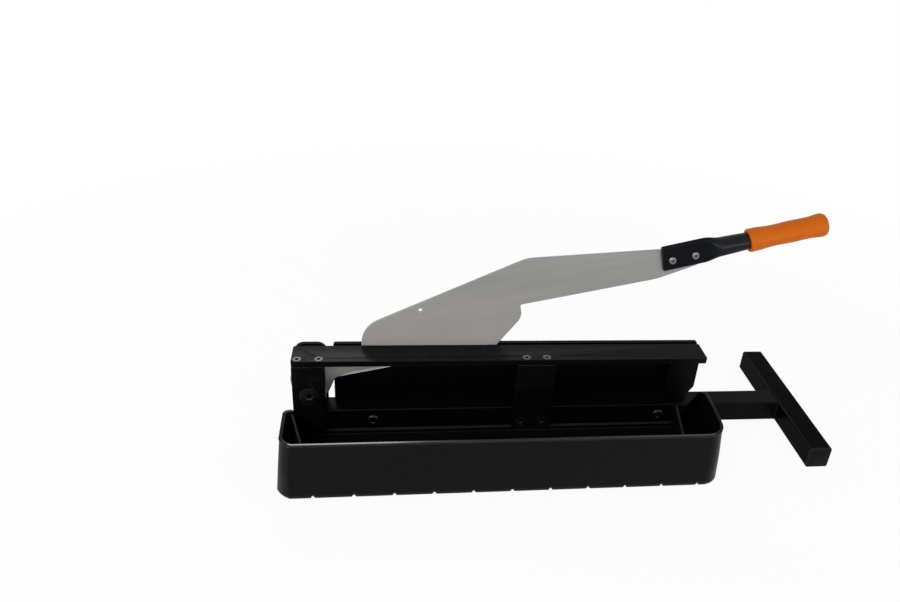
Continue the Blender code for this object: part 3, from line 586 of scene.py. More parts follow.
posts = {"front": -0.0253, "back": -0.0153, "top": 0.1037, "edge": 0.0007, "corner": 0.002,
         "pivotWidth": 0.040, "middleWidth": 0.050, "pivotZ": 0.060, "boltHead": 0.0166, "boltSink": 0.0044,
         "pivotHole": 0.0126, "pivotHead": 0.0246, "pivotSink": 0.0065}
endTab = {"x": 0.180, "front": -0.010, "back": -0.003, "foot": 0.004, "side": 0.020, "low": 0.0303,
          "taper": 0.026, "edge": 0.0006, "footCorner": 0.0007, "corner": 0.002}
rail = {"left": -0.328, "right": 0.203, "front": -0.0253, "back": 0.0103, "low": 0.104, "top": 0.112,
        "corner": 0.0025, "edge": 0.0004, "screwPitch": 0.026, "screwY": -0.0188, "hole": 0.0064,
        "head": 0.0116, "sink": 0.0033}
plates = {"front": 0.0153, "back": 0.0203, "foot": 0.004, "top": 0.112, "left": -0.280, "right": 0.203,
          "corner": 0.003, "cheekCorner": 0.012, "edge": 0.0005}
railScrews = [x + side * rail["screwPitch"] / 2
              for x in (base["pivotX"], base["middleX"]) for side in (-1, 1)]


def makeFlat(name, node, corners, edge, front, back, sinks=(), holes=(), place=onPlane("xz")):
    # flat bar with rounded edges, countersunk holes of (u, v, hole, head, depth) and plain ones
    skin = Skin()
    edges = [(roundedOutline(corners), roundEdge(edge), roundEdge(edge))]
    edges += [(hole(u, v, width), sunkEdge(width, head, depth), drilledRim)
              for u, v, width, head, depth in sinks]
    edges += [(hole(u, v, width), drilledRim, drilledRim) for u, v, width in holes]
    plate(skin, place, edges, front, back)
    makePiece(skin, name, "base", paint, node)


def makePost(name, node, x, width, sinks):
    # upright bar on the ground, this wide about x
    corners = rectangle(x - width / 2, x + width / 2, 0.0, posts["top"], posts["corner"])
    makeFlat(name, node, corners, posts["edge"], posts["front"], posts["back"], sinks)


boltSink = (base["holeWidth"], posts["boltHead"], posts["boltSink"])
makePost("pivotPostBar", "pivot_post", base["pivotX"], posts["pivotWidth"],
         [(base["pivotX"], half, *boltSink),
          (base["pivotX"], posts["pivotZ"], posts["pivotHole"], posts["pivotHead"], posts["pivotSink"])])
makePost("middlePostBar", "middle_post", base["middleX"], posts["middleWidth"],
         [(x, half, *boltSink) for x in middleBolts])

tabShoulder = endTab["low"] + endTab["taper"]
tabHalf = [(endTab["foot"], endTab["low"], endTab["footCorner"]),
           (endTab["side"], tabShoulder, endTab["corner"]), (endTab["side"], posts["top"], endTab["corner"])]
tabCorners = [(endTab["x"] + u, v, radius) for u, v, radius in tabHalf]
tabCorners += [(endTab["x"] - u, v, radius) for u, v, radius in tabHalf[::-1]]
tabCorners = tabCorners[-1:] + tabCorners[:-1]  # from the left end of its foot
makeFlat("endPostTab", "end_post", tabCorners, endTab["edge"], endTab["front"], endTab["back"])
makeFlat("frontRailBar", "front_rail",
         rectangle(rail["left"], rail["right"], rail["front"], rail["back"], rail["corner"]), rail["edge"],
         -rail["top"], -rail["low"],
         [(x, rail["screwY"], rail["hole"], rail["head"], rail["sink"]) for x in railScrews],
         place=lambda u, v, w: onPlane("xy")(u, v, -w))
makeFlat("anvilPlateSheet", "anvil_plate",
         rectangle(plates["left"], plates["right"], plates["foot"], plates["top"], plates["corner"]),
         plates["edge"], plates["front"], plates["back"],
         holes=[(x, half, base["holeWidth"]) for x in (*middleBolts, *base["anvilBolts"])])
cheekLeft, cheekRight = (base["pivotX"] + side * posts["pivotWidth"] / 2 for side in (-1, 1))
cheekCorners = [(x, plates["foot"], plates["corner"]) for x in (cheekLeft, cheekRight)]
cheekCorners += [(x, plates["top"], plates["cheekCorner"]) for x in (cheekRight, cheekLeft)]
makeFlat("pivotCheekPlate", "pivot_cheek", cheekCorners, plates["edge"], plates["front"], plates["back"],
         holes=[(base["pivotX"], half, base["holeWidth"]),
                (base["pivotX"], posts["pivotZ"], posts["pivotHole"])])
print("frame made")


# bolts, washers and nuts

bolts = {"shank": 0.008, "head": 0.016, "headDepth": 0.0044, "key": 0.005, "keyDepth": 0.0028,
         "pitch": 0.00125, "tip": 0.0008, "end": 0.0313, "thread": 0.011}
boltWasher = {"y": plates["back"] + base["gap"], "outer": 0.016, "thickness": 0.0016}
boltNut = {"y": boltWasher["y"] + boltWasher["thickness"] + base["gap"], "across": 0.013, "height": 0.0065}
railScrew = {"shank": 0.0058, "head": 0.0110, "headDepth": 0.0033, "key": 0.004, "keyDepth": 0.0022,
             "pitch": 0.001, "tip": 0.0006, "length": 0.022, "thread": 0.012}
pivot = {"shank": 0.012, "head": 0.024, "headDepth": 0.0065, "key": 0.008, "keyDepth": 0.0045,
         "pitch": 0.00175, "tip": 0.0008, "length": 0.067, "thread": 0.020,
         "sleeve": (0.020, 0.0253, 0.0, 0.0004), "washer": (0.024, 0.002), "spring": (0.025, 0.0015, 0.0006),
         "nutAcross": 0.019, "nutHeight": 0.009, "collar": (0.0165, 0.003)}
screwEdge = {"step": 0.0002, "key": 0.0003, "head": 0.0004, "broken": 0.0001}
nutEdge = {"bore": 0.0004, "drop": 0.0011, "dropAcross": 0.013, "collar": 0.0006, "circleShare": 0.96}


def threadRows(start, end, radius, pitch, tip):
    # rings close enough to show the thread, then the turned-down tip and its flat end
    count = max(4, ceil((end - tip - start) / pitch * 6))
    rows = [(w, radius, noFlat, 2.0) for w in np.linspace(start, end - tip, count)]
    return rows + [(end, radius - tip, noFlat, 1.0), (end, 0.0)]


def keyRows(size, face):
    # the hexagon recess that the key fits, from its pointed floor up to the head's face
    key, floor, rim = size["key"] / 2, size["keyDepth"] + face, screwEdge["key"]
    return [(floor + key * 0.4, 0.0), (floor, key * 0.98, noFlat), (floor, noFlat, key),
            (face + rim, noFlat, key, 0.5), (face, noFlat, key + rim, 1.0)]


def screw(skin, place, size, length, shown, head):
    # recess and head, then the shank, with its thread over the last part that is shown
    shank = size["shank"] / 2
    rings = [*head, (length - shown - screwEdge["step"], shank)]
    rings += threadRows(length - shown, length, shank, size["pitch"], size["tip"])
    turned(skin, place, rings, pitch=size["pitch"], cut=size["pitch"] * 0.45)


def sunkBolt(skin, place, size, length, shown):
    # countersunk: flat head with a broken rim over a cone
    head, rim, broken = size["head"] / 2, screwEdge["head"], screwEdge["broken"]
    rings = [(0.0, head - rim, noFlat, 0.4), (broken, head - broken, noFlat, 1.0), (rim, head, noFlat, 0.7),
             (size["headDepth"], size["shank"] / 2)]
    screw(skin, place, size, length, shown, [*keyRows(size, 0.0), *rings])


def buttonScrew(skin, place, size, length, shown):
    # domed: the head is a quarter ellipse round the recess
    head, high = size["head"] / 2, size["headDepth"]
    rings = [(-high * (0.16 + 0.84 * cos(turn)), head * (0.55 + 0.45 * sin(turn)), noFlat, 0.2)
             for turn in np.linspace(0, 1, 8) * pi / 2]
    rings += [(-screwEdge["broken"], head, noFlat, 0.6), (0.0, head - screwEdge["step"]),
              (0.0, size["shank"] / 2)]
    screw(skin, place, size, length, shown, [*keyRows(size, -high), *rings])


def hexNut(skin, place, across, bore, height, collar=None):
    # nut from w = 0: bevelled hexagon on both faces where circle and hexagon meet, chamfered bore
    flat, inside, rim = across / 2, bore / 2, nutEdge["bore"]
    circle = flat * nutEdge["circleShare"]
    drop = nutEdge["drop"] * across / nutEdge["dropAcross"]
    bevel = [(drop * s, circle + (flat / cos(pi / 6) - circle) * s, flat, 0.5) for s in np.linspace(0, 1, 5)]
    rings = [(0.0, inside + rim), (0.0, circle, flat), *bevel]
    rings += [(height - w, *ring) for w, *ring in bevel[::-1]]
    top = height
    if collar:
        outside, edge, top = collar[0] / 2, nutEdge["collar"], height + collar[1]
        rings += [(height, outside), (top - edge, outside, noFlat, 0.5), (top, outside - edge, noFlat, 0.5)]
    rings += [(top, inside + rim, noFlat, 0.5), (top - rim, inside), (rim, inside)]
    turned(skin, place, rings, sides=60, endless=True)


def flatRing(skin, place, outer, bore, thickness, rise=0.0, edge=0.00025):
    # washer with broken edges; a dished one stands up by rise at its bore
    outside, inside = outer / 2, bore / 2
    rim = [(0.0, outside - edge, noFlat, 0.5), (edge * 0.3, outside - edge * 0.3, noFlat, 1.0),
           (edge, outside, noFlat, 0.5)]
    rim += [(thickness - w, *ring) for w, *ring in rim[::-1]]
    rings = rim + [(w + rise, outside + inside - radius, *ring) for w, radius, *ring in rim[::-1]]
    turned(skin, place, rings, sides=60, endless=True)


def boltPlace(x, y):
    # round the axis of a bolt through the beam, backwards from this y
    return onPlane("xz", (x, y, half))


# three countersunk bolts through the posts and two domed ones through the beam and the anvil plate
boltRow = [("post", x, posts["front"], sunkBolt) for x in (base["pivotX"], *middleBolts)]
boltRow += [("anvil", x, posts["back"], buttonScrew) for x in base["anvilBolts"]]
for number, (kind, x, y, shape) in enumerate(boltRow, 1):
    own = number if kind == "post" else number - 3
    turnedPiece(shape, boltPlace(x, y), (bolts, bolts["end"] - y, bolts["thread"]), f"{kind}Bolt{own}",
                "base", blackened, f"{kind}_bolt_{own}")
    washerSizes = (boltWasher["outer"], base["holeWidth"], boltWasher["thickness"])
    turnedPiece(flatRing, boltPlace(x, boltWasher["y"]), washerSizes, f"boltWasher{number}", "base", zinc,
                f"bolt_washer_{number}")
    nutSizes = (boltNut["across"], base["holeWidth"], boltNut["height"])
    turnedPiece(hexNut, boltPlace(x, boltNut["y"]), nutSizes, f"boltNut{number}", "base", zinc,
                f"bolt_nut_{number}")
for number, x in enumerate(railScrews, 1):
    down = onPlane("xy", (x, rail["screwY"], rail["top"]))
    turnedPiece(sunkBolt, lambda u, v, w: down(u, v, -w),
                (railScrew, railScrew["length"], railScrew["thread"]), f"railScrew{number}", "base",
                blackened, f"rail_screw_{number}")


def pivotPlace(y, turn=1):
    # round the pivot's axis from this y, backwards or, with turn -1, forwards
    return lambda u, v, w: onPlane("xz", (base["pivotX"], y, posts["pivotZ"]))(u, v, turn * w)


def pivotRing(outer, thickness, rise=0.0, edge=0.00025):
    # the sizes of a ring on the pivot bolt
    return outer, posts["pivotHole"], thickness, rise, edge


turnedPiece(sunkBolt, pivotPlace(posts["front"]), (pivot, pivot["length"], pivot["thread"]), "pivotBolt",
            "base", blackened, "pivot_bolt")
turnedPiece(flatRing, pivotPlace(posts["back"] + base["gap"]), pivotRing(*pivot["sleeve"]), "pivotSleeve",
            "base", zinc, "pivot_sleeve")
washerY = plates["back"] + base["gap"]
turnedPiece(flatRing, pivotPlace(washerY), pivotRing(*pivot["washer"]), "pivotWasher", "base", zinc,
            "pivot_washer")
# two dished springs, hollow to hollow
firstY = washerY + pivot["washer"][1] + base["gap"]
secondY = firstY + 2 * (pivot["spring"][1] + pivot["spring"][2]) + base["gap"]
for number, (y, turn) in enumerate(((firstY, 1), (secondY, -1)), 1):
    turnedPiece(flatRing, pivotPlace(y, turn), pivotRing(*pivot["spring"]), f"dishedSpring{number}", "base",
                springSteel, f"disc_spring_{number}")
nutSizes = (pivot["nutAcross"], posts["pivotHole"], pivot["nutHeight"], pivot["collar"])
turnedPiece(hexNut, pivotPlace(secondY + base["gap"]), nutSizes, "pivotLockNut", "base", zinc, "pivot_nut")
print("bolts made")


# arm

arm = {"turn": radians(12), "front": 0.0108, "back": 0.0148, "edge": 0.0005, "holeEdge": 0.0003,
       "bush": 0.0176, "pin": 0.0055, "pinU": 0.1544, "pinV": 0.0725, "bevelHeight": 0.007,
       "bevelLand": 0.0014, "edgeV": -0.002, "bevelStart": 0.042, "bevelEnd": 0.2404, "runOut": 0.009,
       "heelGap": 0.0012, "bushY": 0.0106, "bushRing": (0.017, 0.0044, 0.0, 0.0003)}
bladeCorners = [  # (u, v, radius) from the pivot at (0, 0)
    (-0.026, -0.026, 0.026), (-0.026, 0.026, 0.026), (0.0704, 0.026, 0.008), (0.0792, 0.0626, 0.036),
    (0.2954, 0.1171, 0.040), (0.517, 0.0900, 0.005), (0.517, 0.0690, 0.012), (0.4570, 0.0577, 0.120),
    (0.2785, 0.0554, 0.003), (0.2785, 0.0371, 0.020), (0.2364, -0.002, 0.003), (0.030, -0.002, 0.008),
    (0.014, -0.026, 0.012)]
heelCorner, toeCorner = np.array(bladeCorners)[9:11, :2]
handle = {"u": 0.464, "v": 0.0857, "tilt": radians(2.4), "centre": 0.0080, "radius": 0.011, "wall": 0.002,
          "lapLength": 0.054, "lapWidth": 0.0350, "lapThickness": 0.005, "lapCorner": 0.0013,
          "lapRows": (0.0, 0.0004, 0.0012, 0.0025, 0.005), "cornerRun": 0.010, "lip": 0.0008,
          "lipRun": 0.0012, "swell": 0.024, "oval": 0.0016, "ovalEnd": 0.036, "bare": 0.111,
          "gripLength": 0.1025, "gripWall": 0.008, "gripRadius": 0.0154, "gripBore": 0.0003, "slack": 0.001,
          "dimple": 0.0012, "dimpleRadius": 0.0040, "screws": (0.0119, 0.0418), "screwDrop": 0.0029,
          "screwHole": 0.0066}
handleScrew = {"shank": 0.006, "head": 0.0110, "headDepth": 0.0033, "key": 0.005, "keyDepth": 0.0024,
               "pitch": 0.001, "tip": 0.0006, "length": 0.0174, "thread": 0.0055, "y": 0.0052,
               "washerY": 0.0151, "washer": (0.012, 0.0066, 0.0012), "nutY": 0.0166,
               "nut": (0.010, 0.0066, 0.005)}

armPlace = turnedPlace(onPlane("xz"), arm["turn"], base["pivotX"], posts["pivotZ"])
handlePlace = turnedPlace(armPlace, handle["tilt"], handle["u"], handle["v"])


def bevelRelief(points):
    # the ground bevel: depth grows straight towards the cutting edge and runs out at both ends
    slope = (arm["back"] - arm["front"] - arm["bevelLand"]) / arm["bevelHeight"]
    depth = slope * np.clip(arm["edgeV"] + arm["bevelHeight"] - points[:, 1], 0, arm["bevelHeight"])
    start = ease((points[:, 0] - arm["bevelStart"]) / arm["runOut"])
    end = ease((arm["bevelEnd"] - points[:, 0]) / arm["runOut"])
    return depth * start * end


def makeBlade():
    # the outline of lug, neck, nose, crown, tail, rounded heel and cutting edge, given thickness
    skin = Skin()
    outline = roundedOutline(bladeCorners, radians(4), 0.003)
    holeEdge = roundEdge(arm["holeEdge"], 2)
    edges = [(outline, roundEdge(arm["edge"], 3), roundEdge(arm["edge"], 3)),
             (hole(0.0, 0.0, arm["bush"], 72), holeEdge, holeEdge),
             (hole(arm["pinU"], arm["pinV"], arm["pin"]), holeEdge, holeEdge)]
    tilt, drop = handle["tilt"], handle["screwDrop"]
    for along in handle["screws"]:
        u = handle["u"] + along * cos(tilt) + drop * sin(tilt)
        v = handle["v"] + along * sin(tilt) - drop * cos(tilt)
        edges.append((hole(u, v, handle["screwHole"]), drilledRim, drilledRim))
    # points inside the front face, in rows along the bevel, as far as the heel's slope
    start, end, runOut, height = (arm[key] for key in ("bevelStart", "bevelEnd", "runOut", "bevelHeight"))
    fade = np.linspace(0.0, runOut, 7)
    even = np.linspace(start + runOut, end - runOut, 25)[1:-1]
    along = np.concatenate((start + fade, even, end - fade[::-1]))
    u, v = np.meshgrid(along, arm["edgeV"] + height - np.linspace(0.0, 1.0, 5)[:-1] * height)
    extra = np.stack((u.ravel(), v.ravel()), -1)
    slope = unit(heelCorner - toeCorner)
    room = (extra[:, 0] - toeCorner[0]) * slope[1] - (extra[:, 1] - toeCorner[1]) * slope[0]
    plate(skin, armPlace, edges, arm["front"], arm["back"], bevelRelief, extra[room < -arm["heelGap"]])
    makePiece(skin, "bladePlate", "arm", steel, "blade")


def stadium(width, thickness, sides=72):
    # points at even steps of length round two half circles joined by flats, from half a width and half
    # a thickness; a circle where both are alike
    flat = np.maximum(width - thickness, 0.0)
    quarter = pi * thickness / 2
    whole = 4 * (flat + quarter)
    step = (np.arange(sides) / sides) * whole
    part = np.mod(step, whole / 2)
    side = np.where(step < whole / 2, 1.0, -1.0)
    onFlat = part < 2 * flat
    up = np.where(onFlat, part - flat, flat)
    angle = np.where(onFlat, 0.0, (part - 2 * flat) / thickness)
    up = up + thickness * np.sin(angle)
    return side * thickness * np.cos(angle), side * up


def makeHandleTube():
    # round tube whose section flattens to the lap, outside and inside, with the lap's corners rounded
    skin = Skin()
    full, flatWide, flatThick = handle["radius"], handle["lapWidth"] / 2, handle["lapThickness"] / 2
    lap, swell, radius, lip = (handle[key] for key in ("lapLength", "swell", "lapCorner", "lip"))
    tubeEnd = handle["bare"] + handle["gripLength"] - handle["gripWall"] - handle["slack"]
    along = np.concatenate((handle["lapRows"], np.linspace(handle["cornerRun"], lap, 10),
                            lap + swell * np.linspace(0, 1, 19)[1:],
                            np.linspace(lap + swell, tubeEnd, 9)[1:]))
    rows, wear = [], []
    for wall, stations in ((0.0, along), (handle["wall"], along[::-1])):
        for station in stations:
            s = ease((station - lap) / swell)
            oval = handle["oval"] * (1 - ease((station - lap - swell) / handle["ovalEnd"]))
            less = lip * max(0.0, 1 - station / handle["lipRun"]) if wall == 0 else 0.0
            wide = flatWide + (full + oval - flatWide) * s - wall - less * 0.6
            thick = flatThick + (full - flatThick) * s - wall - less * 0.6
            core = thick + (wide - thick) * (1 - s)
            across, up = stadium(core, thick)
            up = up * wide / core
            over = np.clip((np.abs(up) - (flatWide - radius)) / radius, 0.0, 1.0)
            shift = radius * (1 - np.sqrt(1 - over ** 2)) * max(0.0, 1 - station / handle["cornerRun"])
            rows.append(handlePlace(station + shift, up, handle["centre"] + across))
            wear.append(1.0 if less else 0.45 * s)
    skin.grid(np.array(rows), np.array(wear), around=True, endless=True)
    makePiece(skin, "handleTubeSteel", "arm", tubePaint, "handle_tube", weighted=False)


gripShares = [(0.0, 0.88), (0.004, 0.93), (0.014, 0.965), (0.05, 0.97), (0.13, 0.962), (0.16, 0.955),
              (0.175, 0.93), (0.20, 0.918), (0.27, 0.885), (0.40, 0.885), (0.55, 0.915), (0.70, 0.895),
              (0.82, 0.91), (0.91, 0.975), (0.945, 0.97), (0.97, 0.91), (0.985, 0.83), (0.996, 0.68),
              (1.0, 0.54)]  # along the grip, and its radius there


def smoothProfile(knots, count):
    # curve through the knots: cubic between them, with each knot's slope that of its neighbours
    x, y = np.array(knots).T
    slope = np.gradient(y, x)
    at = np.unique(np.concatenate((np.linspace(x[0], x[-1], count), x)))
    i = np.clip(np.searchsorted(x, at, side="right") - 1, 0, len(x) - 2)
    step = x[i + 1] - x[i]
    s = (at - x[i]) / step
    curve = ((2 * s ** 3 - 3 * s ** 2 + 1) * y[i] + (s ** 3 - 2 * s ** 2 + s) * step * slope[i]
             + (3 * s ** 2 - 2 * s ** 3) * y[i + 1] + (s ** 3 - s ** 2) * step * slope[i + 1])
    return at, np.minimum(curve, 1.0)


def makeGrip():
    # the waisted profile turned about the tube's axis, closed with a low dome and bored for the tube
    length, radius, dimple = handle["gripLength"], handle["gripRadius"], handle["dimple"]
    bore, depth = handle["radius"] + handle["gripBore"], length - handle["gripWall"]
    along, wide = smoothProfile(gripShares, 90)
    rings = [(depth, 0.0), (depth, bore), (0.0, bore)]
    rings += [(length * share, radius * reach) for share, reach in zip(along, wide)]
    rings += [(length, radius * 0.30), (length - dimple * 2 / 3, handle["dimpleRadius"]),
              (length - dimple, 0.0)]
    skin = Skin()
    turned(skin, lambda u, v, w: handlePlace(handle["bare"] + w, u, handle["centre"] + v), rings, sides=72)
    makePiece(skin, "gripOrange", "arm", gripOrange, "grip")


def screwPlace(along, y):
    # round the axis of the handle screw that lies this far along the lap
    return lambda u, v, w: handlePlace(along + u, v - handle["screwDrop"], y + w)


makeBlade()
makeHandleTube()
makeGrip()
turnedPiece(flatRing, lambda u, v, w: armPlace(u, v, arm["bushY"] + w), pivotRing(*arm["bushRing"]),
            "pivotBushRing", "arm", bronze, "pivot_bush")
for number, along in enumerate(handle["screws"], 1):
    turnedPiece(buttonScrew, screwPlace(along, handleScrew["y"]),
                (handleScrew, handleScrew["length"], handleScrew["thread"]), f"handleScrew{number}", "arm",
                screwZinc, f"handle_screw_{number}")
    turnedPiece(flatRing, screwPlace(along, handleScrew["washerY"]), handleScrew["washer"],
                f"handleWasher{number}", "arm", zinc, f"handle_washer_{number}")
    turnedPiece(hexNut, screwPlace(along, handleScrew["nutY"]), handleScrew["nut"], f"handleNut{number}",
                "arm", zinc, f"handle_nut_{number}")
print("arm made")


# tray

tray = {"left": -0.330, "right": 0.194, "flare": 0.0075, "front": -0.1385, "frontFlare": 0.003,
        "back": -0.0256, "height": 0.0836, "wall": 0.003, "floor": 0.0035, "edge": 0.004,
        "frontCorner": 0.013, "rightRounder": 0.0075, "chamfer": 0.55, "rightChamfer": 0.10,
        "backCorner": 0.006, "spread": 0.003,
        "spreadHeight": 0.042, "bead": 0.0012, "beadHeight": 0.005, "beadFade": 0.012, "leanLeft": 0.057,
        "leanRight": 0.033, "lip": 0.009, "lipSlope": radians(24), "rightSlope": radians(11), "sill": 0.0075,
        "frontDrop": 0.0054, "dropRun": 0.060, "outerRound": (0.0007, 0.0009), "innerRound": 0.0006,
        "least": 0.0003, "sillEdge": 0.0005, "sillTop": 0.0018, "cornerShare": 0.7, "backShare": 0.66,
        "sideSteps": 22}
grooves = {"count": 11, "pitch": 0.0466, "first": 0.0416, "radius": 0.0022, "height": 0.0016,
           "notchHeight": 0.0034, "fluteHeight": 0.018, "fluteDepth": 0.00035, "scoopHeight": 0.0060,
           "scoopDepth": 0.0046}
ribs = {"wall": 0.003, "drop": 0.002, "end": -0.082, "corner": 0.004, "sunk": 0.0005, "behind": 0.002,
        "edge": 0.0007, "shifts": ((0.0243, 0.0075), (-0.0548, -0.0470)), "wear": (0.3, 0.12)}


def trayColumns():
    # shares of the straight front between the corner arcs, close together at each groove, and how far
    # each column lies from its groove's middle, in groove radii
    low, high = tray["left"] - tray["flare"], tray["right"] + tray["flare"]
    grooveX = low + grooves["first"] + grooves["pitch"] * np.arange(grooves["count"])
    side = np.array([0.25, 0.5, 0.75, 0.95, 1.2, 1.6])
    offsets = grooves["radius"] * np.concatenate((-side[::-1], [0.0], side))
    corner = tray["frontCorner"] + tray["spread"]
    even = np.linspace(low + corner, high - corner - tray["rightRounder"], 57)
    clear = np.abs(even[:, None] - grooveX[None]).min(1) > grooves["radius"] * 2.2
    clear[[0, -1]] = True
    x = np.sort(np.concatenate((even[clear], (grooveX[:, None] + offsets).ravel())))
    apart = (x - grooveX[np.abs(x[:, None] - grooveX[None]).argmin(1)]) / grooves["radius"]
    return (x - even[0]) / (even[-1] - even[0]), apart


def cornerProfile(chamfer):
    # front corner between a quarter circle and a straight chamfer: distances from the side and the front
    shares = np.linspace(0, 1, cornerSteps + 1)
    shares = (shares - 0.09 * np.sin(2 * pi * shares))[:-1]
    turns = shares * pi / 2
    return ((1 - chamfer) * (1 - np.cos(turns)) + chamfer * shares,
            (1 - chamfer) * (1 - np.sin(turns)) + chamfer * (1 - shares))


cornerSteps = 12
leftIn, leftBack = cornerProfile(tray["chamfer"])
rightIn, rightBack = cornerProfile(tray["rightChamfer"])
straightShares, grooveApart = trayColumns()
# a ring runs along the front from left to right, up the right side, along the back and down the left side
columns, sideSteps = len(straightShares) + 2 * cornerSteps, tray["sideSteps"]
total = 2 * (columns + sideSteps)
frontPart, rightPart = slice(0, columns), slice(columns, columns + sideSteps)
backPart, leftPart = slice(columns + sideSteps, total - sideSteps), slice(total - sideSteps, total)
onFront = np.arange(total) < columns
far = 9.0  # beyond any groove, in groove radii
frontApart = np.pad(grooveApart, cornerSteps, constant_values=far)
apart = np.concatenate((frontApart, np.full(sideSteps, far), frontApart[::-1], np.full(sideSteps, far)))


def trayRing(z, side, frontRadius, backRadius):
    # one ring, with its height and its inset given per column; ends and front spread downwards with
    # 1 - z / height, and the back leans in upwards
    down = 1 - z / tray["height"]
    left = tray["left"] - tray["flare"] * down + side
    right = tray["right"] + tray["flare"] * down - side
    front = tray["front"] - tray["frontFlare"] * down + side
    rightRadius = frontRadius + tray["rightRounder"]

    def acrossX(west, east):
        # the left corner, the straight part and the right corner between two sides
        straight = east - rightRadius - west - frontRadius
        x = west + frontRadius + straight * np.pad(straightShares, cornerSteps, "edge")
        x[:cornerSteps] = west[:cornerSteps] + frontRadius * leftIn
        x[-cornerSteps:] = east[-cornerSteps:] - rightRadius * rightIn[::-1]
        return x

    frontX, frontY = acrossX(left[frontPart], right[frontPart]), front[frontPart].copy()
    frontY[:cornerSteps] += frontRadius * leftBack
    frontY[-cornerSteps:] += rightRadius * rightBack[::-1]
    west, east, inset, height = (values[backPart][::-1] for values in (left, right, side, z))
    backX = acrossX(west, east)
    leanShare = np.maximum(height - tray["edge"], 0) / (tray["height"] - tray["edge"])
    turning = (tray["leanRight"] - tray["leanLeft"]) * (backX - west) / (east - west)
    lean = leanShare * (tray["leanLeft"] + turning)
    inward = np.clip(backRadius - np.minimum(backX - west, east - backX), 0, backRadius)
    backY = tray["back"] - inset - lean - backRadius + np.sqrt(np.maximum(backRadius ** 2 - inward ** 2, 0))
    share = np.arange(1, sideSteps + 1) / (sideSteps + 1)
    x = np.concatenate((frontX, right[rightPart], backX[::-1], left[leftPart]))
    y = np.concatenate((frontY, frontY[-1] + (backY[-1] - frontY[-1]) * share, backY[::-1],
                        backY[0] + (frontY[0] - backY[0]) * share))
    return np.stack((x, y, z), -1)


def trayTop():
    # rim height of each column: the front rim falls forwards with an eased slope, and at the back the
    # sloping lips run down to the sill
    high = tray["height"]
    rim = trayRing(np.full(total, high), np.zeros(total), tray["frontCorner"], tray["backCorner"])
    shift = tray["flare"] * ((rim[:, 0] - tray["left"]) / (tray["right"] - tray["left"]) * 2 - 1)
    steep, steeper = 1 / tan(tray["lipSlope"]), 1 / tan(tray["rightSlope"])
    fromLeft = rim[:, 0] + shift - tray["left"] - tray["lip"]
    fromRight = tray["right"] - tray["lip"] - rim[:, 0] - shift
    leftEdge = (high - fromLeft * steep) / (1 - shift * steep / high)
    rightEdge = (high - fromRight * steeper) / (1 + shift * steeper / high)
    top = high - tray["frontDrop"] * (1 - ease((rim[:, 1] - tray["front"]) / tray["dropRun"]))
    top[backPart] = np.clip(np.maximum(leftEdge, rightEdge), tray["sill"], high)[backPart]
    return top


def trayFlutes(z):
    # how far the front is pushed in: a bell curve across each groove that fades upwards, and a scoop
    # at its foot
    fade = 1 - ease(z / grooves["fluteHeight"])
    scoop = grooves["scoopDepth"] * np.clip(1 - z / grooves["scoopHeight"], 0, 1) ** 1.3
    flute = grooves["fluteDepth"] * fade * np.exp(-apart ** 2)
    return onFront * (flute + scoop * np.clip(1 - np.abs(apart), 0, 1) ** 0.7)


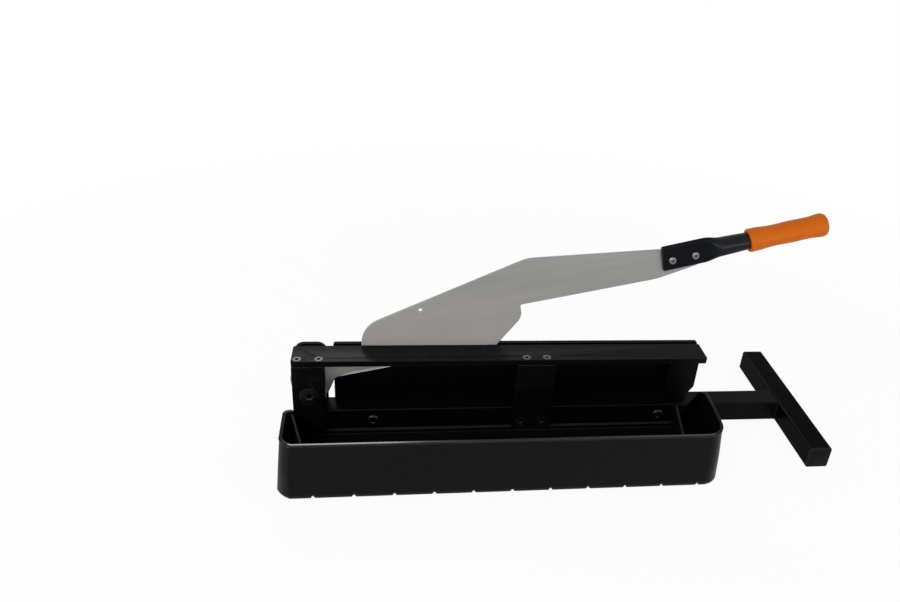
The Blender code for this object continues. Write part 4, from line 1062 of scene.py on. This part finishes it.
def makeTray():
    # rings up the outside, over the rim and down the inside, and two floors from front to back
    skin = Skin()
    top = trayTop()
    high, edge, wall, bead, floor = (tray[key] for key in ("height", "edge", "wall", "bead", "floor"))
    frontRound, backRound, follow = tray["frontCorner"], tray["backCorner"], tray["cornerShare"]
    beadShare = ease((top - (high - tray["beadFade"])) / tray["beadFade"])
    beadLow, beadOut = tray["beadHeight"] * beadShare, bead * beadShare
    rows, wear = [], []

    def addRow(z, side, frontRadius, backRadius, worn=0.0, outside=False, grooved=False):
        # one ring; flutes are cut outside and the floor's grooves under it
        z, side = np.broadcast_to(z, total), np.broadcast_to(side, total)
        spread = tray["spread"] * (1 - ease(z[0] / tray["spreadHeight"]))
        ring = trayRing(z, side, frontRadius + spread, backRadius)
        if outside:
            ring[:, 1] += trayFlutes(z)
        if grooved:
            notch = np.where(onFront, grooves["notchHeight"], grooves["height"])
            ring[:, 2] = np.maximum(ring[:, 2], np.sqrt(np.maximum(1 - apart ** 2, 0)) * notch)
        rows.append(ring)
        wear.append(worn)

    for turn in np.linspace(0, pi / 2, 7):
        side = edge * (1 - sin(turn))
        addRow(edge * (1 - cos(turn)), side, frontRound - side * follow, backRound - side, 0.3, True, True)
    wallTop = np.where(beadShare > 0, top - beadLow - beadOut, top)
    wallTop = np.clip(wallTop, edge + tray["sillEdge"], top - tray["sillTop"])
    for share in (0.04, 0.09, 0.15, 0.22, 0.35, 0.5, 0.68, 0.86, 1.0):
        addRow(edge + (wallTop - edge) * share, 0, frontRound, backRound, outside=True)
    for number, (out, share) in enumerate(((0.25, 0.35), (0.75, 0.75), (1.0, 1.0)), 1):
        rise = np.maximum((top - beadLow - wallTop) * share * beadShare, tray["least"] * number)
        addRow(wallTop + rise, -beadOut * out, frontRound + bead * out, backRound + bead * out, 0.2)
    flatRound, beadRound = tray["outerRound"]
    topRound = flatRound + (beadRound - flatRound) * beadShare
    for share in np.linspace(0, 1, 5):
        drop, come = topRound * (1 - sin(share * pi / 2)), topRound * (1 - cos(share * pi / 2))
        addRow(top - drop, come - beadOut, frontRound + bead / 2, backRound + bead / 2, 0.3 + 0.7 * share)
    innerFront, innerBack, innerRound = frontRound - wall * follow, backRound - wall, tray["innerRound"]
    for share in np.linspace(1, 0, 4):
        drop, come = innerRound * (1 - sin(share * pi / 2)), innerRound * (1 - cos(share * pi / 2))
        addRow(top - drop, wall - come, innerFront, innerBack, 0.3 + 0.7 * share)
    innerTop = top - innerRound
    innerLow = np.minimum(floor + edge, innerTop - innerRound)
    for share in (0.12, 0.3, 0.5, 0.68, 0.82, 0.92):
        addRow(innerTop + (innerLow - innerTop) * share, wall, innerFront, innerBack)
    for turn in np.linspace(pi / 2, 0, 7):
        side = edge * (1 - sin(turn))
        addRow(floor + (innerLow - floor) * (1 - cos(turn)), wall + side, frontRound - (wall + side) * follow,
               innerBack - side * tray["backShare"])
    rubbed = np.full(total, 0.10)
    rubbed[cornerSteps - 3:columns - cornerSteps + 3] = 1.0
    skin.grid(np.array(rows), np.array(wear)[:, None] * rubbed, around=True)
    depth = np.linspace(0, 1, sideSteps + 2)[:, None, None]
    fall = np.clip(depth * 8, 0, 1)
    for ring in (rows[0], rows[-1]):
        front, back = ring[frontPart][None], ring[backPart][::-1][None]
        sheet = front * (1 - depth) + back * depth
        sheet[..., 2:] = front[..., 2:] * (1 - fall) + back[..., 2:] * fall
        skin.grid(sheet)
    makePiece(skin, "wasteTrayShell", "tray", trayPlastic, "waste_tray")


def makeTrayRibs():
    # upright plates from the front wall to the middle, following its flare, sunk in wall and floor
    high, reach, behind = tray["height"], ribs["end"] - tray["front"], ribs["behind"]
    top, low = high - ribs["drop"], tray["floor"] - ribs["sunk"]
    outline = roundedOutline([(-behind, low, 0.0), (reach, low, 0.0), (reach, top, ribs["corner"]),
                              (ribs["corner"] - behind, top - tray["frontDrop"], 0.0)])
    for number, (frontShift, backShift) in enumerate(ribs["shifts"], 1):
        end = tray["left"] if frontShift > 0 else tray["right"]

        def ribPlace(u, v, w):
            # forwards by the front's flare at the wall, none at the rib's free end
            y = tray["front"] + u - tray["frontFlare"] * (1 - v / high) * (1 - u / reach) + tray["wall"] * 0.6
            x = end + frontShift + (backShift - frontShift) * (u / reach) + w
            return np.stack(np.broadcast_arrays(x, y, v), -1)

        skin = Skin()
        ribEdge = roundEdge(ribs["edge"], 3) * (1, 1, ribs["wear"][number - 1])
        plate(skin, ribPlace, [(outline, ribEdge, ribEdge)], -ribs["wall"] / 2, ribs["wall"] / 2)
        makePiece(skin, f"trayRib{number}", "tray", trayPlastic, "waste_tray")


makeTray()
makeTrayRibs()
print("tray made")


# weld beads

welds = {"leg": 0.0034, "pitch": 0.0021, "ripple": 0.16, "low": 0.0012, "high": 0.0280, "half": 0.0132,
         "topZ": 0.0278, "topLegs": (0.0029, 0.0028), "topX": (0.0006, 0.0011), "tabLeg": 0.0018,
         "tabPitch": 0.0015, "tabHalf": 0.0050, "tabZ": 0.0301, "sunk": 0.0002}
lift = np.array((0.0, 0.0, 1.0))


def weldBead(skin, start, end, out, up, leg, pitch, count=90):
    # quarter ellipse between two legs carried along a straight line; its size steps up once per ripple,
    # and the ripples bow backwards in the middle of the bead
    path = np.linspace(start, end, count)
    length = np.linalg.norm(path - path[0], axis=1)
    phi = np.linspace(0, pi / 2, 9)
    bow = 0.35 * pitch * np.sin(2 * phi)
    phase = np.mod((length[:, None] + bow[None]) / pitch, 1.0)
    taper = np.sqrt(np.clip(np.minimum(length, length[-1] - length) / (leg * 0.8), 0.02, 1))[:, None]
    size = leg * (1 - welds["ripple"] * (1 - phase) ** 2) * taper
    bead = path[:, None] + out * (size * np.cos(phi))[..., None] + up * (size * np.sin(phi))[..., None]
    ring = np.concatenate((bead, path[:, None] - (out + up) * welds["sunk"]), 1)
    middle = ring.mean(1, keepdims=True)
    ring = np.concatenate((middle[:1].repeat(ring.shape[1], 1), ring, middle[-1:].repeat(ring.shape[1], 1)))
    skin.grid(ring, around=True)


weldSkin = Skin()
joint = base["footStart"]
for side in (1, -1):
    weldBead(weldSkin, (joint, side * half, welds["low"]), (joint, side * half, welds["high"]),
             np.array((-1.0, 0, 0)), np.array((0, float(side), 0)), welds["leg"], welds["pitch"])
for out, leg, x in zip((-1.0, 1.0), welds["topLegs"], welds["topX"]):
    weldBead(weldSkin, (joint + x, -welds["half"], welds["topZ"]), (joint + x, welds["half"], welds["topZ"]),
             np.array((out, 0, 0)), lift, leg, welds["pitch"])
tabX, tabZ, tabWeld = endTab["x"], welds["tabZ"], (lift, welds["tabLeg"], welds["tabPitch"])
for y, out in ((endTab["front"], -1.0), (endTab["back"], 1.0)):
    weldBead(weldSkin, (tabX - welds["tabHalf"], y, tabZ), (tabX + welds["tabHalf"], y, tabZ),
             np.array((0, out, 0)), *tabWeld, 50)
for out in (-1.0, 1.0):
    x = tabX + out * endTab["foot"]
    weldBead(weldSkin, (x, endTab["front"], tabZ), (x, endTab["back"], tabZ), np.array((out, 0, 0)),
             *tabWeld, 40)
makePiece(weldSkin, "weldBeads", "base", paint, slot="beam", weighted=False)
print("welds made")


# studio

view = {"place": (-0.208523, -0.836073, 0.664999), "yaw": radians(-10.311), "pitch": radians(28.184),
        "roll": radians(5.343), "focal": 783.821, "width": 900, "shift": (-66.227, -18.418)}
studio = {"world": 0.55, "floor": rgb(0.93, 0.93, 0.93), "shadow": rgb(0.02, 0.02, 0.02), "floorShow": 0.92,
          "floorReach": 12.0, "floorDrop": 0.0002, "shadeReach": 0.25}
middle = (0.0, 0.0, 0.12)
lamps = {  # place, what it looks at, width and height, power
    "keyLamp": ((-1.5, -1.3, 1.9), middle, (1.6, 1.2), 20.0),
    "fillLamp": ((1.8, -1.2, 1.3), middle, (1.4, 1.4), 5.0),
    "backLamp": ((-0.50, 2.3, 2.12), (-0.2, -0.13, 0.08), (0.76, 0.50), 9.5),
    "frontLamp": ((0.1, -3.0, 0.42), middle, (3.4, 0.35), 36.0),
}


def makeCamera():
    # looks down its own -Z: turned by yaw, pitched down, then rolled about the view line
    yaw, pitch, roll = view["yaw"], view["pitch"], view["roll"]
    ahead = np.array((-sin(yaw) * cos(pitch), cos(yaw) * cos(pitch), -sin(pitch)))
    right = np.array((cos(yaw), sin(yaw), 0.0))
    up = np.cross(right, ahead)
    across = cos(roll) * right + sin(roll) * up
    above = -sin(roll) * right + cos(roll) * up
    camera = bpy.data.cameras.new("photoCamera")
    camera.sensor_width = 36
    camera.lens = view["focal"] / view["width"] * camera.sensor_width
    camera.shift_x, camera.shift_y = np.array(view["shift"]) / view["width"]
    camera.clip_start, camera.clip_end = 0.02, 50
    item = bpy.data.objects.new("photoCamera", camera)
    bpy.context.scene.collection.objects.link(item)
    turn = np.stack((across, above, -ahead), -1)
    item.matrix_world = Matrix.Translation(view["place"]) @ Matrix(turn.tolist()).to_4x4()
    bpy.context.scene.camera = item


def areaLamp(name, place, target, size, power):
    # a white rectangle that looks from its place at its target and isn't seen itself
    lamp = bpy.data.lights.new(name, "AREA")
    lamp.shape, lamp.size, lamp.size_y = "RECTANGLE", size[0], size[1]
    lamp.energy = power
    item = bpy.data.objects.new(name, lamp)
    bpy.context.scene.collection.objects.link(item)
    item.location = place
    item.rotation_euler = (Vector(target) - Vector(place)).to_track_quat("-Z", "Y").to_euler()
    item.visible_camera = False


def makeWorld():
    # white to the camera and to reflections, a softer white as light
    world = bpy.data.worlds.new("studioWorld")
    bpy.context.scene.world = world
    sky = Nodes(world)
    level = sky.node("MapRange", {}, {"Value": sky.seen(), "To Min": studio["world"]})
    back = sky.tree.nodes["Background"]
    back.inputs["Color"].default_value = rgb(1, 1, 1)
    sky.tree.links.new(level.socket, back.inputs["Strength"])


def paleFloor(name):
    # open floor is shown white; narrow gaps under and inside the object keep their full shade, and there the
    # floor's own colour is painted dark as shade
    finish = Finish(name, Roughness=0.9, Specular_IOR_Level=0.1)
    openness = finish.node("AmbientOcclusion", {"samples": 16}, {"Distance": studio["shadeReach"]}, out="AO")
    across, along = finish.along((0.0, 1.0, 0.0)) * 5 + 0.5, finish.along((1.0, 0.0, 0.0)) + 0.5
    beside = 1 - finish.ramp(across, 0.20, 0.25) * (1 - finish.ramp(along, 0.70, 0.72))
    # the slit between tray and beam takes a little less light to count as closed
    slit = finish.ramp(across, 0.335, 0.345) * (1 - finish.ramp(across, 0.425, 0.435))
    openness = openness - slit * 0.15
    # painted shade: where the floor counts as closed its colour turns from pale to the dark shadow colour
    shade = finish.blend(beside.larger(finish.ramp(openness, 0.38, 0.52)), studio["shadow"], studio["floor"])
    finish.tree.links.new(shade.socket, finish.shader.inputs["Base Color"])
    apart = finish.node("VectorMath", {"operation": "LENGTH"}, {0: finish.place}, out="Value")
    far = finish.ramp(apart * 0.5, 0.32, 0.62)
    clear = beside.larger(finish.ramp(openness, 0.44, 0.54))
    shown = finish.seen() * clear * (studio["floorShow"] + far * (1 - studio["floorShow"]))
    glow = finish.node("Emission")
    mix = finish.node("MixShader", {}, {0: shown, 1: Wire(finish, finish.shader.outputs[0]), 2: glow})
    finish.tree.links.new(mix.socket, finish.tree.nodes["Material Output"].inputs["Surface"])
    return finish.material


def makeFloor():
    # one large square a hair under the object
    reach, drop = studio["floorReach"], studio["floorDrop"]
    mesh = bpy.data.meshes.new("studioFloor")
    corners = [(-reach, -reach, -drop), (reach, -reach, -drop), (reach, reach, -drop), (-reach, reach, -drop)]
    mesh.from_pydata(corners, [], [(0, 1, 2, 3)])
    mesh.materials.append(paleFloor("paleFloor"))
    floor = bpy.data.objects.new("studioFloor", mesh)
    bpy.context.scene.collection.objects.link(floor)


makeCamera()
makeWorld()
makeFloor()
for name, values in lamps.items():
    areaLamp(name, *values)
bpy.context.scene.view_settings.view_transform = "Standard"
